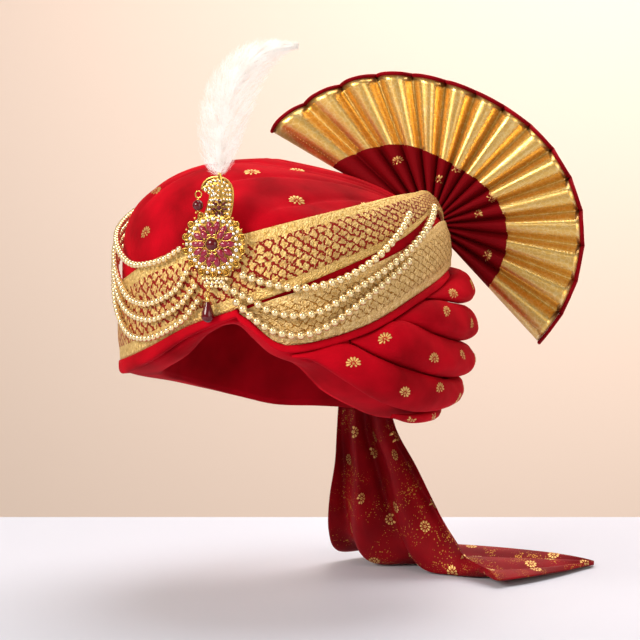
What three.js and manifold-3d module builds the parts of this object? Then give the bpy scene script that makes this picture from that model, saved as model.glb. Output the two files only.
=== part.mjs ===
// A tied turban pagri: a wound red velvet turban with two gold bands, puffed rolls round the back,
// a pleated fan, a hanging tail, a jewelled brooch with a plume, and strings of gold pearls.
// Units are millimetres. +Z is up, the wearer faces -Y, and the wearer's left is +X.
// The origin is the middle of the head hollow, at the height of the brow.

import * as THREE from 'three';
import * as BufferGeometryUtils from 'three/addons/utils/BufferGeometryUtils.js';
import Module from 'manifold-3d';

const wasm = await Module();
wasm.setup();

// Driving sizes of the wound body. Its plan is an ellipse, and its top a rounded dome.
const BODY = { halfWidth: 126, halfLength: 142, x: 4, y: 26, shoulderZ: 55, topZ: 150, roundness: 3 };
const BODY_TUCK = 0.17;
const BODY_TUCK_DEPTH = 55;
const HEAD = { halfWidth: 82, halfLength: 101, y: 3, shoulderZ: 18, topZ: 104, roundness: 2.4 };
const CROWN_FOLDS = 8;
const CROWN_FOLD_DEPTH = 5;
const FOLD_MEETING = { x: 118, y: 60 };
const CROWN_LEAN = { slope: 0.2, fromX: -10, startSize: 0.02, fullSize: 0.3 };
const FOLD_WAVE = { twistLength: 150, fadeLength: 60 };

// Cloth, gaps and cords
const GAP = 0.4;
const BAND_STANDOFF = 0.9;
const BAND_THICKNESS = 1.5;
const ROLL_STANDOFF = 1.0;
const ROLL_OVER_BAND = { fromDeg: 208, toDeg: 220, standoff: 3.4 };
const LEFT_PEARLS = { diameter: 5, standoff: 6.2, tiedStandoff: 5.6 };
const RIGHT_PEARLS = { diameter: 6.2, standoff: 6.8, tiedStandoff: 6.4 };
const PEARLS_PER_STEP = 2.8;
const CLOTH_THICKNESS = 1.6;

// The fan stands behind the crown on the wearer's left
const FAN = { x: 95.5, y: 115, z: 96.7, turnDeg: 8, gather: 5, pleats: 15, pleatDepth: 7.5 };
const PIPING_RADIUS = 1.5;

// The brooch sits over the brow, and the plume in its top
const BROOCH = { x: 5, y: -119.4, z: 84.7, plateRadius: 22.5, plateThickness: 1.6, studs: 14 };
const PLUME = { x: 9.5, y: -121.5, z: 133 };

// Lowest edge of the wound body
const RIM = [
  { deg: -180, z: -54 },
  { deg: -155, z: -53 },
  { deg: -135, z: -45 },
  { deg: -118, z: -37 },
  { deg: -95, z: -27 },
  { deg: -60, z: -16 },
  { deg: -38, z: -8 },
  { deg: -20, z: 3 },
  { deg: -5, z: 21 },
  { deg: 7, z: 29 },
  { deg: 16, z: 17 },
  { deg: 25, z: 5 },
  { deg: 38, z: -4 },
  { deg: 52, z: -24 },
  { deg: 75, z: -41 },
  { deg: 90, z: -48 },
  { deg: 110, z: -53 },
  { deg: 180, z: -54 },
];

// The upper gold band climbs from the wearer's right temple to the left back
const UPPER_BAND = [
  { deg: -130, bottom: -14, top: 31 },
  { deg: -111, bottom: -13, top: 38 },
  { deg: -90, bottom: -12, top: 44 },
  { deg: -66, bottom: -8, top: 50 },
  { deg: -44, bottom: -2, top: 59 },
  { deg: -26, bottom: 9.5, top: 72 },
  { deg: -9, bottom: 26, top: 82 },
  { deg: 7, bottom: 38, top: 90 },
  { deg: 23, bottom: 51, top: 99 },
  { deg: 42, bottom: 68, top: 108.5 },
  { deg: 65, bottom: 88, top: 117.5 },
  { deg: 83, bottom: 104, top: 121 },
  { deg: 93, bottom: 109, top: 122.5 },
  { deg: 107, bottom: 105, top: 121 },
  { deg: 118, bottom: 98, top: 114 },
];

// The lower gold band comes out from under the upper one over the left brow
const LOWER_BAND = [
  { deg: 8.5, bottom: 35.2, top: 36.6 },
  { deg: 12, bottom: 30, top: 39.5 },
  { deg: 15.3, bottom: 23.2, top: 42.5 },
  { deg: 19.2, bottom: 16.2, top: 45.6 },
  { deg: 23.6, bottom: 12.8, top: 48.6 },
  { deg: 34, bottom: 15.8, top: 56.5 },
  { deg: 51, bottom: 27, top: 68.5 },
  { deg: 70, bottom: 45, top: 83.5 },
  { deg: 88, bottom: 58, top: 97 },
  { deg: 102, bottom: 64.8, top: 100 },
  { deg: 120, bottom: 66, top: 94 },
];

// The rolled edge that runs under both bands
const BROW_ROLL = [
  { deg: -111, height: 11, bulge: 3 },
  { deg: -60, height: 11, bulge: 3.5 },
  { deg: -26, height: 11.5, bulge: 5 },
  { deg: -8, height: 8, bulge: 5 },
  { deg: 8, height: 6, bulge: 4.5 },
  { deg: 84, height: 6, bulge: 4.5 },
  { deg: 96, height: 6, bulge: 3 },
];

// Puffed rolls, from the top one down. They swell round the back and end on the wearer's right.
const ROLLS = [
  {
    name: 'roll_top',
    rows: [
      { deg: 77, bottom: 42.5, top: 44.5, bulge: 3 },
      { deg: 84, bottom: 40.5, top: 49, bulge: 10 },
      { deg: 94, bottom: 38, top: 54.5, bulge: 17 },
      { deg: 107, bottom: 35, top: 60, bulge: 20 },
      { deg: 140, bottom: 34, top: 64, bulge: 20 },
      { deg: 190, bottom: 33, top: 64, bulge: 20 },
      { deg: 222, bottom: 29, top: 54, bulge: 15 },
      { deg: 234, bottom: 29.5, top: 47, bulge: 10 },
      { deg: 242, bottom: 31, top: 40, bulge: 3 },
    ],
  },
  {
    name: 'roll_upper',
    rows: [
      { deg: 61, bottom: 27.4, top: 28.8, bulge: 3 },
      { deg: 68, bottom: 23.5, top: 36.5, bulge: 10 },
      { deg: 76, bottom: 17.5, top: 42, bulge: 16 },
      { deg: 90, bottom: 10, top: 38.5, bulge: 20 },
      { deg: 107, bottom: 5.5, top: 34.6, bulge: 22 },
      { deg: 140, bottom: 4, top: 33.6, bulge: 22 },
      { deg: 190, bottom: 4, top: 32.6, bulge: 22 },
      { deg: 224, bottom: 4.5, top: 28.4, bulge: 16 },
      { deg: 238, bottom: 8, top: 26, bulge: 10 },
      { deg: 247, bottom: 12.5, top: 21, bulge: 3 },
    ],
  },
  {
    name: 'roll_middle',
    rows: [
      { deg: 44, bottom: 13.5, top: 15.5, bulge: 3 },
      { deg: 51, bottom: 4.5, top: 20, bulge: 8 },
      { deg: 61, bottom: -5, top: 28.6, bulge: 14 },
      { deg: 76, bottom: -14.5, top: 17, bulge: 18 },
      { deg: 90, bottom: -19.5, top: 9.6, bulge: 20 },
      { deg: 107, bottom: -22.5, top: 5, bulge: 21 },
      { deg: 190, bottom: -23, top: 3.6, bulge: 21 },
      { deg: 226, bottom: -19.6, top: 3.8, bulge: 15 },
      { deg: 238, bottom: -13, top: 5, bulge: 10 },
      { deg: 246, bottom: -9, top: 1, bulge: 3 },
    ],
  },
  {
    name: 'roll_lower',
    rows: [
      { deg: 25, bottom: 3.5, top: 6, bulge: 3 },
      { deg: 31, bottom: 1.5, top: 8.2, bulge: 6 },
      { deg: 42, bottom: -14.5, top: 13.5, bulge: 10 },
      { deg: 51, bottom: -27, top: 4, bulge: 14 },
      { deg: 61, bottom: -36, top: -5.5, bulge: 17 },
      { deg: 76, bottom: -43.5, top: -15, bulge: 19 },
      { deg: 95, bottom: -46, top: -21.5, bulge: 20 },
      { deg: 190, bottom: -46, top: -23.5, bulge: 20 },
      { deg: 226, bottom: -41, top: -20.4, bulge: 14 },
      { deg: 237, bottom: -36, top: -21, bulge: 9 },
      { deg: 245, bottom: -32, top: -25, bulge: 3 },
    ],
  },
  {
    name: 'roll_under',
    rows: [
      { deg: 66, bottom: -46.5, top: -43, bulge: 3 },
      { deg: 82, bottom: -54, top: -46, bulge: 9 },
      { deg: 110, bottom: -57, top: -46.5, bulge: 13 },
      { deg: 180, bottom: -57, top: -46.5, bulge: 13 },
      { deg: 215, bottom: -53, top: -45.5, bulge: 8 },
      { deg: 230, bottom: -46, top: -43, bulge: 2 },
    ],
  },
];

// How far each direction of the fan reaches. 0 points to the wearer's left, 90 up.
const FAN_REACH = [
  { deg: -47, reach: 129 },
  { deg: -20, reach: 125 },
  { deg: 5, reach: 121 },
  { deg: 30, reach: 115 },
  { deg: 60, reach: 111 },
  { deg: 85, reach: 116 },
  { deg: 110, reach: 129 },
  { deg: 130, reach: 140 },
  { deg: 150, reach: 154 },
];

// Sections down the tail. The width runs along turnDeg, and lift turns the folds from back to up.
const TAIL = [
  { x: 39, y: 114, z: -55.2, width: 44, turnDeg: 8, fold: 5, lift: 0 },
  { x: 40, y: 120, z: -78, width: 52, turnDeg: 12, fold: 9, lift: 0 },
  { x: 45, y: 125, z: -104, width: 68, turnDeg: 12, fold: 11, lift: 0 },
  { x: 49, y: 130, z: -135, width: 90, turnDeg: 6, fold: 12, lift: 5 },
  { x: 55, y: 136, z: -165, width: 113, turnDeg: -4, fold: 11, lift: 26 },
  { x: 65, y: 143, z: -185, width: 134, turnDeg: -15, fold: 8.6, lift: 58 },
  { x: 84, y: 150, z: -188.6, width: 150, turnDeg: -32, fold: 6, lift: 80 },
  { x: 108, y: 158, z: -189, width: 154, turnDeg: -50, fold: 5, lift: 89 },
  { x: 134, y: 168, z: -190, width: 138, turnDeg: -62, fold: 4.2, lift: 90 },
  { x: 162, y: 181, z: -190.8, width: 108, turnDeg: -69, fold: 3.6, lift: 90 },
  { x: 187, y: 195, z: -191.6, width: 68, turnDeg: -74, fold: 2.8, lift: 90 },
  { x: 206, y: 207, z: -192.4, width: 26, turnDeg: -78, fold: 1.8, lift: 90 },
  { x: 214, y: 212, z: -193, width: 8, turnDeg: -80, fold: 1, lift: 90 },
];
const TAIL_FOLDS = 2.5;

// Pearl strings as [degrees round the body, height]. Each hangs from the brooch to one side.
const STRINGS = {
  left_string_1: [[-12, 80], [-19, 72.5], [-29, 68.6], [-37, 69.5], [-47, 77], [-60, 89], [-82, 106]],
  left_string_2: [[-9, 64], [-14, 50], [-24, 41], [-32, 41], [-40, 46], [-50, 60], [-64, 80], [-82, 99]],
  left_string_3: [[-6, 54.5], [-12, 40], [-22, 29.6], [-31, 29.4], [-40, 34.6], [-50, 47], [-64, 70], [-82, 92]],
  left_string_4: [[-5, 43.5], [-11, 29], [-22, 17], [-31, 14.6], [-39, 18], [-50, 32], [-64, 58], [-82, 85]],
  right_string_1: [[10, 62.6], [19, 56], [29, 53.6], [40, 59.4], [50, 71], [60, 88], [68, 103]],
  right_string_2: [[4.7, 54], [11, 47], [19, 36.8], [28, 34], [36, 39.6], [44, 51], [60, 72], [74, 91], [86, 108]],
  right_string_3: [[8, 43.6], [13.2, 32], [20, 22.6], [28, 20], [36, 26.6], [44, 38.6], [54, 55], [65, 71]],
};

// The bar that gathers the four strings on the wearer's right, past the photo's edge of the crown
const STRING_BAR_ROWS = 4;
const STRING_BAR = { deg: -83.6, thick: 3, low: 80, high: 111, nearest: 0.8, farthest: 8.6 };

// Height of a table's column at one angle, on a smooth curve through its rows
function readTable(rows, column, deg) {
  const last = rows.length - 1;
  if (deg <= rows[0].deg) return rows[0][column];
  if (deg >= rows[last].deg) return rows[last][column];
  const i = rows.findIndex((row) => row.deg > deg) - 1;
  const slope = (j) => {
    const a = rows[Math.max(j - 1, 0)];
    const b = rows[Math.min(j + 1, last)];
    return (b[column] - a[column]) / (b.deg - a.deg);
  };
  const span = rows[i + 1].deg - rows[i].deg;
  const t = (deg - rows[i].deg) / span;
  const rise = rows[i + 1][column] - rows[i][column];
  const m0 = slope(i) * span;
  const m1 = slope(i + 1) * span;
  const ease = (3 - 2 * t) * t * t;
  return rows[i][column] + rise * ease + m0 * t * (1 - t) ** 2 - m1 * t * t * (1 - t);
}

// A point on the wound body at an angle round it and a height, moved out along the surface's normal
function bodyPoint(deg, z, out = 0) {
  const angle = THREE.MathUtils.degToRad(deg);
  const t = THREE.MathUtils.clamp((z - BODY.shoulderZ) / (BODY.topZ - BODY.shoulderZ), 0, 0.9999);
  const under = Math.max(-z / BODY_TUCK_DEPTH, 0);
  const size = (1 - t ** BODY.roundness) ** (1 / BODY.roundness) * (1 - BODY_TUCK * under ** 2);
  const steep = t ** (BODY.roundness - 1) / size ** (BODY.roundness - 1);
  const slope = t > 0 ? (steep * BODY.halfWidth) / (BODY.topZ - BODY.shoulderZ) : 0;
  const normal = new THREE.Vector3(Math.sin(angle) / BODY.halfWidth, -Math.cos(angle) / BODY.halfLength, 0);
  normal.normalize();
  normal.z = slope;
  normal.normalize();
  const x = BODY.x + BODY.halfWidth * size * Math.sin(angle);
  const y = BODY.y - BODY.halfLength * size * Math.cos(angle);
  return new THREE.Vector3(x, y, z).addScaledVector(normal, out);
}

function range(count) {
  return Array.from({ length: count }, (_, i) => i);
}

// A closed solid through rings of equal length, with both ends closed to their middles
function loft(rings) {
  const around = rings[0].length;
  const middle = (ring) => ring.reduce((sum, p) => sum.add(p), new THREE.Vector3()).divideScalar(around);
  const points = [...rings.flat(), middle(rings[0]), middle(rings.at(-1))];
  const firstMiddle = points.length - 2;
  const lastMiddle = points.length - 1;
  const lastRing = (rings.length - 1) * around;
  const faces = [];
  for (const i of range(around)) {
    const j = (i + 1) % around;
    for (const row of range(rings.length - 1)) {
      const low = row * around;
      const high = low + around;
      faces.push(low + i, low + j, high + j, low + i, high + j, high + i);
    }
    faces.push(firstMiddle, j, i);
    faces.push(lastMiddle, lastRing + i, lastRing + j);
  }
  return outward(points, faces);
}

// A sheet of cloth between two grids of points, joined round its border
function sheet(columns, rows, front, back) {
  const index = (i, j) => i * (rows + 1) + j;
  const side = (columns + 1) * (rows + 1);
  const points = [];
  for (const place of [front, back]) {
    for (const i of range(columns + 1)) {
      for (const j of range(rows + 1)) points.push(place(i / columns, j / rows));
    }
  }
  const faces = [];
  const quad = (a, b, c, d) => faces.push(a, b, c, a, c, d);
  for (const i of range(columns)) {
    for (const j of range(rows)) {
      quad(index(i, j), index(i + 1, j), index(i + 1, j + 1), index(i, j + 1));
      quad(side + index(i, j), side + index(i, j + 1), side + index(i + 1, j + 1), side + index(i + 1, j));
    }
    quad(index(i, 0), side + index(i, 0), side + index(i + 1, 0), index(i + 1, 0));
    quad(index(i + 1, rows), side + index(i + 1, rows), side + index(i, rows), index(i, rows));
  }
  for (const j of range(rows)) {
    quad(index(0, j + 1), side + index(0, j + 1), side + index(0, j), index(0, j));
    quad(index(columns, j), side + index(columns, j), side + index(columns, j + 1), index(columns, j + 1));
  }
  return outward(points, faces);
}

// Geometry from points and faces, turned so that its volume is positive
function outward(points, faces) {
  let volume = 0;
  for (let i = 0; i < faces.length; i += 3) {
    const [a, b, c] = [points[faces[i]], points[faces[i + 1]], points[faces[i + 2]]];
    volume += a.dot(new THREE.Vector3().crossVectors(b, c));
  }
  const geometry = new THREE.BufferGeometry().setFromPoints(points);
  geometry.setIndex(volume > 0 ? faces : faces.reverse());
  return geometry;
}

// Solids that are joined or cut
function toSolid(geometry) {
  const bare = geometry.clone();
  bare.deleteAttribute('normal');
  bare.deleteAttribute('uv');
  const merged = BufferGeometryUtils.mergeVertices(bare, 1e-4);
  const vertProperties = new Float32Array(merged.attributes.position.array);
  const triVerts = new Uint32Array(merged.index.array);
  return new wasm.Manifold(new wasm.Mesh({ numProp: 3, vertProperties, triVerts }));
}

function fromSolid(solid) {
  const mesh = solid.getMesh();
  const geometry = new THREE.BufferGeometry();
  geometry.setAttribute('position', new THREE.BufferAttribute(mesh.vertProperties, 3));
  geometry.setIndex(new THREE.BufferAttribute(mesh.triVerts, 1));
  return geometry;
}

function join(geometries) {
  return fromSolid(geometries.map(toSolid).reduce((sum, solid) => sum.add(solid)));
}

function cut(geometry, tools) {
  return fromSolid(tools.map(toSolid).reduce((rest, tool) => rest.subtract(tool), toSolid(geometry)));
}

function tube(points, radius, sides, steps, closed = false) {
  const section = new THREE.Shape(
    range(sides).map((i) => {
      const angle = (2 * Math.PI * i) / sides;
      return new THREE.Vector2(radius * Math.cos(angle), radius * Math.sin(angle));
    }),
  );
  const path = new THREE.CatmullRomCurve3(points, closed);
  return new THREE.ExtrudeGeometry(section, { steps, extrudePath: path, curveSegments: 1 });
}

const MATERIALS = {
  velvet: { color: 0xa3040f, roughness: 0.85, metalness: 0 },
  brocade: { color: 0xb98a3c, roughness: 0.45, metalness: 0.6 },
  fan: { color: 0xa87b25, roughness: 0.4, metalness: 0.5 },
  tail: { color: 0x8f0712, roughness: 0.8, metalness: 0 },
  gold: { color: 0xd0a64a, roughness: 0.3, metalness: 1 },
  garnet: { color: 0x5a0716, roughness: 0.1, metalness: 0 },
  pearl: { color: 0xdcb76a, roughness: 0.25, metalness: 0.7 },
  feather: { color: 0xf6f4f2, roughness: 0.9, metalness: 0 },
};

function piece(name, geometry, material) {
  const mesh = new THREE.Mesh(geometry, new THREE.MeshStandardMaterial(MATERIALS[material]));
  mesh.name = name;
  return mesh;
}

// Where the fan's own plane lies: across runs to the wearer's left, depth points forward
const fanTurn = THREE.MathUtils.degToRad(FAN.turnDeg);
const fanAcross = new THREE.Vector3(Math.cos(fanTurn), Math.sin(fanTurn), 0);
const fanForward = new THREE.Vector3(Math.sin(fanTurn), -Math.cos(fanTurn), 0);
const fanCentre = new THREE.Vector3(FAN.x, FAN.y, FAN.z);

function fanPoint(deg, radius, depth) {
  const angle = THREE.MathUtils.degToRad(deg);
  return fanCentre
    .clone()
    .addScaledVector(fanAcross, radius * Math.cos(angle))
    .addScaledVector(fanForward, depth)
    .add(new THREE.Vector3(0, 0, radius * Math.sin(angle)));
}

// Crown: the wound body from its outer top, down the outside to the rim, and up the head hollow

const CROWN_AROUND = 44;
const CROWN_DOME_SIZES = [0.12, 0.36, 0.58, 0.76, 0.89, 0.965, 1];
const CROWN_SIDE_ROWS = 4;
const HOLLOW_ROWS = [0, 0.35, 0.65, 0.86, 0.98];

function foldDip(x, y) {
  const reach = Math.hypot(x - FOLD_MEETING.x, y - FOLD_MEETING.y);
  const turn = Math.atan2(y - FOLD_MEETING.y, x - FOLD_MEETING.x);
  const wave = 1 - Math.abs(Math.sin((CROWN_FOLDS * turn) / 2 + reach / FOLD_WAVE.twistLength));
  return CROWN_FOLD_DEPTH * wave ** 2 * Math.min(reach / FOLD_WAVE.fadeLength, 1);
}

function domePoint(deg, size) {
  const t = (1 - size ** BODY.roundness) ** (1 / BODY.roundness);
  const z = BODY.shoulderZ + (BODY.topZ - BODY.shoulderZ) * t;
  const angle = THREE.MathUtils.degToRad(deg);
  const x = BODY.x + BODY.halfWidth * size * Math.sin(angle);
  const y = BODY.y - BODY.halfLength * size * Math.cos(angle);
  const inner = THREE.MathUtils.smoothstep(1 - size, CROWN_LEAN.startSize, CROWN_LEAN.fullSize);
  const lean = CROWN_LEAN.slope * Math.max(x - CROWN_LEAN.fromX, 0) * inner;
  return new THREE.Vector3(x, y, z - lean - foldDip(x, y) * inner);
}

function hollowPoint(deg, rim, t) {
  const z = rim + (HEAD.topZ - rim) * t;
  const up = THREE.MathUtils.clamp((z - HEAD.shoulderZ) / (HEAD.topZ - HEAD.shoulderZ), 0, 1);
  const size = (1 - up ** HEAD.roundness) ** (1 / HEAD.roundness);
  const angle = THREE.MathUtils.degToRad(deg);
  const x = HEAD.halfWidth * size * Math.sin(angle);
  return new THREE.Vector3(x, HEAD.y - HEAD.halfLength * size * Math.cos(angle), z);
}

function crownWrap() {
  const angles = range(CROWN_AROUND).map((i) => -180 + (360 * i) / CROWN_AROUND);
  const dome = CROWN_DOME_SIZES.map((size) => angles.map((deg) => domePoint(deg, size)));
  const side = range(CROWN_SIDE_ROWS).map((row) =>
    angles.map((deg) => {
      const rim = readTable(RIM, 'z', deg);
      const z = BODY.shoulderZ + ((rim - BODY.shoulderZ) * (row + 1)) / CROWN_SIDE_ROWS;
      return bodyPoint(deg, z);
    }),
  );
  const hollow = HOLLOW_ROWS.map((t) => angles.map((deg) => hollowPoint(deg, readTable(RIM, 'z', deg), t)));
  return loft([...dome, ...side, ...hollow]);
}

// The place that the fan is tucked into: short below and behind, and long where the fan crosses the top
const FAN_SLOT = { clearance: 4, below: 20, side: 44, top: 112 };
const FAN_SLOT_CORNERS = [
  { deg: -70, reach: 'below' },
  { deg: -35, reach: 'side' },
  { deg: 0, reach: 'side' },
  { deg: 40, reach: 'side' },
  { deg: 80, reach: 'side' },
  { deg: 120, reach: 'top' },
  { deg: 158, reach: 'top' },
  { deg: 190, reach: 'below' },
  { deg: 230, reach: 'below' },
];

function fanSlot() {
  const forward = FAN.pleatDepth * 0.5 + FAN_SLOT.clearance;
  const ring = (depth) => FAN_SLOT_CORNERS.map(({ deg, reach }) => fanPoint(deg, FAN_SLOT[reach], depth));
  return loft([ring(forward), ring(-forward)]);
}

// Gold bands

const BAND_STEP_DEG = 7;
const BAND_ROWS = 3;

function goldBand(rows) {
  const start = rows[0].deg;
  const span = rows.at(-1).deg - start;
  const columns = Math.round(span / BAND_STEP_DEG);
  const place = (out) => (u, v) => {
    const deg = start + span * u;
    const bottom = readTable(rows, 'bottom', deg);
    const top = readTable(rows, 'top', deg);
    return bodyPoint(deg, bottom + (top - bottom) * v, out);
  };
  return sheet(columns, BAND_ROWS, place(BAND_STANDOFF + BAND_THICKNESS), place(BAND_STANDOFF));
}

// A D-shaped fold that lies against the body between two heights and bulges out

const BULGE_POINTS = 7;
const ROLL_FULLNESS = 0.5;
const ROLL_STEP_DEG = 9;
const BROW_STEPS = 34;
const INNER_POINTS = 2;

function foldSection(deg, bottom, top, bulge, standoff) {
  const half = (top - bottom) / 2;
  const middle = (top + bottom) / 2;
  const outer = range(BULGE_POINTS).map((i) => {
    const angle = -Math.PI / 2 + (Math.PI * (i + 0.5)) / BULGE_POINTS;
    const out = standoff + bulge * Math.cos(angle) ** ROLL_FULLNESS;
    return bodyPoint(deg, middle, 0).add(foldOffset(deg, middle, half * Math.sin(angle), out));
  });
  const inner = range(INNER_POINTS).map((i) => {
    const z = top - ((top - bottom) * (i + 0.5)) / INNER_POINTS;
    return bodyPoint(deg, z, standoff);
  });
  return [...outer, ...inner];
}

function foldOffset(deg, middle, rise, out) {
  const flat = bodyPoint(deg, middle + rise, 0).sub(bodyPoint(deg, middle, 0));
  const outwards = bodyPoint(deg, 0, 1).sub(bodyPoint(deg, 0, 0));
  return flat.addScaledVector(outwards, out);
}

function puffedRoll({ rows }) {
  const start = rows[0].deg;
  const span = rows.at(-1).deg - start;
  const steps = Math.round(span / ROLL_STEP_DEG);
  const rings = range(steps + 1).map((i) => {
    const deg = start + (span * i) / steps;
    const [bottom, top, bulge] = ['bottom', 'top', 'bulge'].map((column) => readTable(rows, column, deg));
    const over = THREE.MathUtils.smoothstep(deg, ROLL_OVER_BAND.fromDeg, ROLL_OVER_BAND.toDeg);
    const standoff = THREE.MathUtils.lerp(ROLL_STANDOFF, ROLL_OVER_BAND.standoff, over);
    return foldSection(deg, bottom + GAP / 2, top - GAP / 2, bulge, standoff);
  });
  return loft(rings);
}

function browRoll() {
  const start = BROW_ROLL[0].deg;
  const span = BROW_ROLL.at(-1).deg - start;
  const rings = range(BROW_STEPS + 1).map((i) => {
    const deg = start + (span * i) / BROW_STEPS;
    const edge = deg < LOWER_BAND[0].deg ? UPPER_BAND : LOWER_BAND;
    const top = readTable(edge, 'bottom', deg) - GAP;
    const height = readTable(BROW_ROLL, 'height', deg);
    return foldSection(deg, top - height, top, readTable(BROW_ROLL, 'bulge', deg), ROLL_STANDOFF);
  });
  return loft(rings);
}

// The fan: cloth folded into pleats that open from a gathered middle

const FAN_ROWS = 3;
const FAN_STEPS_PER_PLEAT = 4;
const PLEAT_AT_GATHER = 0.25;
const PLEAT_SHARPNESS = 1.5;

// Broad rounded ridges with narrow valleys between them, deeper towards the outer edge
function pleatDepth(u, v) {
  const ridge = 1 - 2 * (1 - Math.abs(Math.sin(Math.PI * FAN.pleats * u))) ** PLEAT_SHARPNESS;
  return FAN.pleatDepth * THREE.MathUtils.lerp(PLEAT_AT_GATHER, 1, v) * ridge;
}

function fanPleats() {
  const start = FAN_REACH[0].deg;
  const span = FAN_REACH.at(-1).deg - start;
  const place = (offset) => (u, v) => {
    const deg = start + span * u;
    const radius = FAN.gather + (readTable(FAN_REACH, 'reach', deg) - FAN.gather) * v;
    return fanPoint(deg, radius, pleatDepth(u, v) + offset);
  };
  const columns = FAN.pleats * FAN_STEPS_PER_PLEAT;
  return sheet(columns, FAN_ROWS, place(CLOTH_THICKNESS / 2), place(-CLOTH_THICKNESS / 2));
}

function fanPiping() {
  const start = FAN_REACH[0].deg;
  const span = FAN_REACH.at(-1).deg - start;
  const steps = FAN.pleats * FAN_STEPS_PER_PLEAT;
  const points = range(steps + 1).map((i) => {
    const u = i / steps;
    const deg = start + span * u;
    const radius = readTable(FAN_REACH, 'reach', deg) + PIPING_RADIUS + GAP;
    return fanPoint(deg, radius, pleatDepth(u, 1));
  });
  return tube(points, PIPING_RADIUS, 6, steps);
}

// The tail: a folded sheet that hangs from the nape and spreads over the surface below

const TAIL_COLUMNS = 16;

function tailCloth() {
  const sections = TAIL.map((row, i) => ({ ...row, deg: i }));
  const rows = TAIL.length - 1;
  const read = (column, v) => readTable(sections, column, v * (TAIL.length - 1));
  const place = (offset) => (u, v) => {
    const turn = THREE.MathUtils.degToRad(read('turnDeg', v));
    const lift = THREE.MathUtils.degToRad(read('lift', v));
    const across = new THREE.Vector3(Math.cos(turn), Math.sin(turn), 0);
    const depth = new THREE.Vector3(-Math.sin(turn), Math.cos(turn), 0).multiplyScalar(Math.cos(lift));
    depth.z = Math.sin(lift);
    const wave = Math.sin(2 * Math.PI * TAIL_FOLDS * u);
    return new THREE.Vector3(read('x', v), read('y', v), read('z', v))
      .addScaledVector(across, (u - 0.5) * read('width', v))
      .addScaledVector(depth, wave * read('fold', v) + offset);
  };
  return sheet(TAIL_COLUMNS, rows, place(CLOTH_THICKNESS / 2), place(-CLOTH_THICKNESS / 2));
}

// Brooch. Its own frame has X across, Y up and Z out from the brow.

const STUD_RING = 22.6;
const STUD_PROFILE = [[0, -1], [3.2, -1], [2.9, 2.2], [0, 3.2]];
const CRYSTAL_RING = 17.6;
const PETAL_RING = 11.4;
const PETAL = { length: 6.8, width: 3.6, height: 3 };
const PETAL_TABLE = 0.62;
const CRYSTAL = { radius: 2.5, lift: 0.6 };
const PETAL_SINK = 0.3;
const PLATE_SCALLOP = 0.06;
const INNER_FLOWER = { radius: 8.4, scallops: 8, scallop: 0.14, thickness: 3.4, z: 0.6 };
const MANGO = { thickness: 2.4, z: 0.2 };

// The brooch's loose pieces, and where each one sits
const CENTRE_STONE = { radius: 5, height: 3.4, x: 0, y: 0, z: 4.4 };
const MANGO_STONE = { radius: 2.6, height: 2.2, x: 5, y: 26, z: 3 };
const SIDE_RING = { radius: 2.4, wire: 0.45, x: -10.6, y: 35.4, z: 4.4 };
const SIDE_BEAD = { radius: 4, sides: 10, x: -11, y: 27.6, z: 4.4 };
const DROP_LINK = { radius: 2.2, wire: 0.45, stretch: 2.4, x: -3, y: -32.6, z: 5.2 };
const DROP_STONE = { radius: 4.7, height: 17, x: -3, y: -55.8, z: 6.4 };

function lathe(profile, sides) {
  const geometry = new THREE.LatheGeometry(profile.map(([r, y]) => new THREE.Vector2(r, y)), sides);
  return geometry.rotateX(Math.PI / 2);
}

function turned(geometry, radius, index, count, z) {
  const angle = (2 * Math.PI * index) / count;
  return geometry.translate(0, radius, z).rotateZ(angle);
}

// A marquise petal stone with a flat table
function petal() {
  const outline = [[0, -0.5], [0.5, -0.15], [0.5, 0.2], [0, 0.5], [-0.5, 0.2], [-0.5, -0.15]];
  const ring = (scale, z) =>
    outline.map(([x, y]) => new THREE.Vector3(x * PETAL.width * scale, y * PETAL.length * scale, z));
  return loft([ring(1, 0), ring(PETAL_TABLE, PETAL.height)]);
}

function flowerOutline(radius, scallops, depth) {
  const points = range(scallops * 4).map((i) => {
    const angle = (2 * Math.PI * i) / (scallops * 4);
    const r = radius * (1 - depth * Math.abs(Math.sin((scallops * angle) / 2)) ** 2);
    return new THREE.Vector2(r * Math.sin(angle), r * Math.cos(angle));
  });
  return new THREE.Shape(points);
}

function slab(shape, depth, z, curveSegments = 5) {
  const options = { depth, bevelEnabled: false, curveSegments };
  return new THREE.ExtrudeGeometry(shape, options).translate(0, 0, z);
}

// The mango: a bent drop whose tip curls over to one side
function mangoShape() {
  const shape = new THREE.Shape();
  shape.moveTo(-7.4, 19);
  shape.quadraticCurveTo(-3.8, 28, -1.6, 37.5);
  shape.quadraticCurveTo(-1.4, 42, -4.4, 41.6);
  shape.quadraticCurveTo(-7.4, 41, -9.2, 38.4);
  shape.quadraticCurveTo(-8.6, 44.6, -3, 47);
  shape.bezierCurveTo(4, 49.6, 15.4, 47, 15.2, 35);
  shape.quadraticCurveTo(15, 26, 12.6, 19);
  return shape;
}

function broochSetting() {
  const thickness = BROOCH.plateThickness;
  const parts = [slab(flowerOutline(BROOCH.plateRadius, BROOCH.studs, PLATE_SCALLOP), thickness, 0)];
  for (const i of range(BROOCH.studs)) {
    parts.push(turned(lathe(STUD_PROFILE, 8), STUD_RING, i, BROOCH.studs, thickness));
    const crystal = new THREE.OctahedronGeometry(CRYSTAL.radius);
    parts.push(turned(crystal, CRYSTAL_RING, i + 0.5, BROOCH.studs, thickness + CRYSTAL.lift));
    parts.push(turned(petal(), PETAL_RING, i, BROOCH.studs, thickness - PETAL_SINK));
  }
  const { radius, scallops, scallop } = INNER_FLOWER;
  parts.push(slab(flowerOutline(radius, scallops, scallop), INNER_FLOWER.thickness, INNER_FLOWER.z));
  parts.push(slab(mangoShape(), MANGO.thickness, MANGO.z, 4));
  return join(parts);
}

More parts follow.
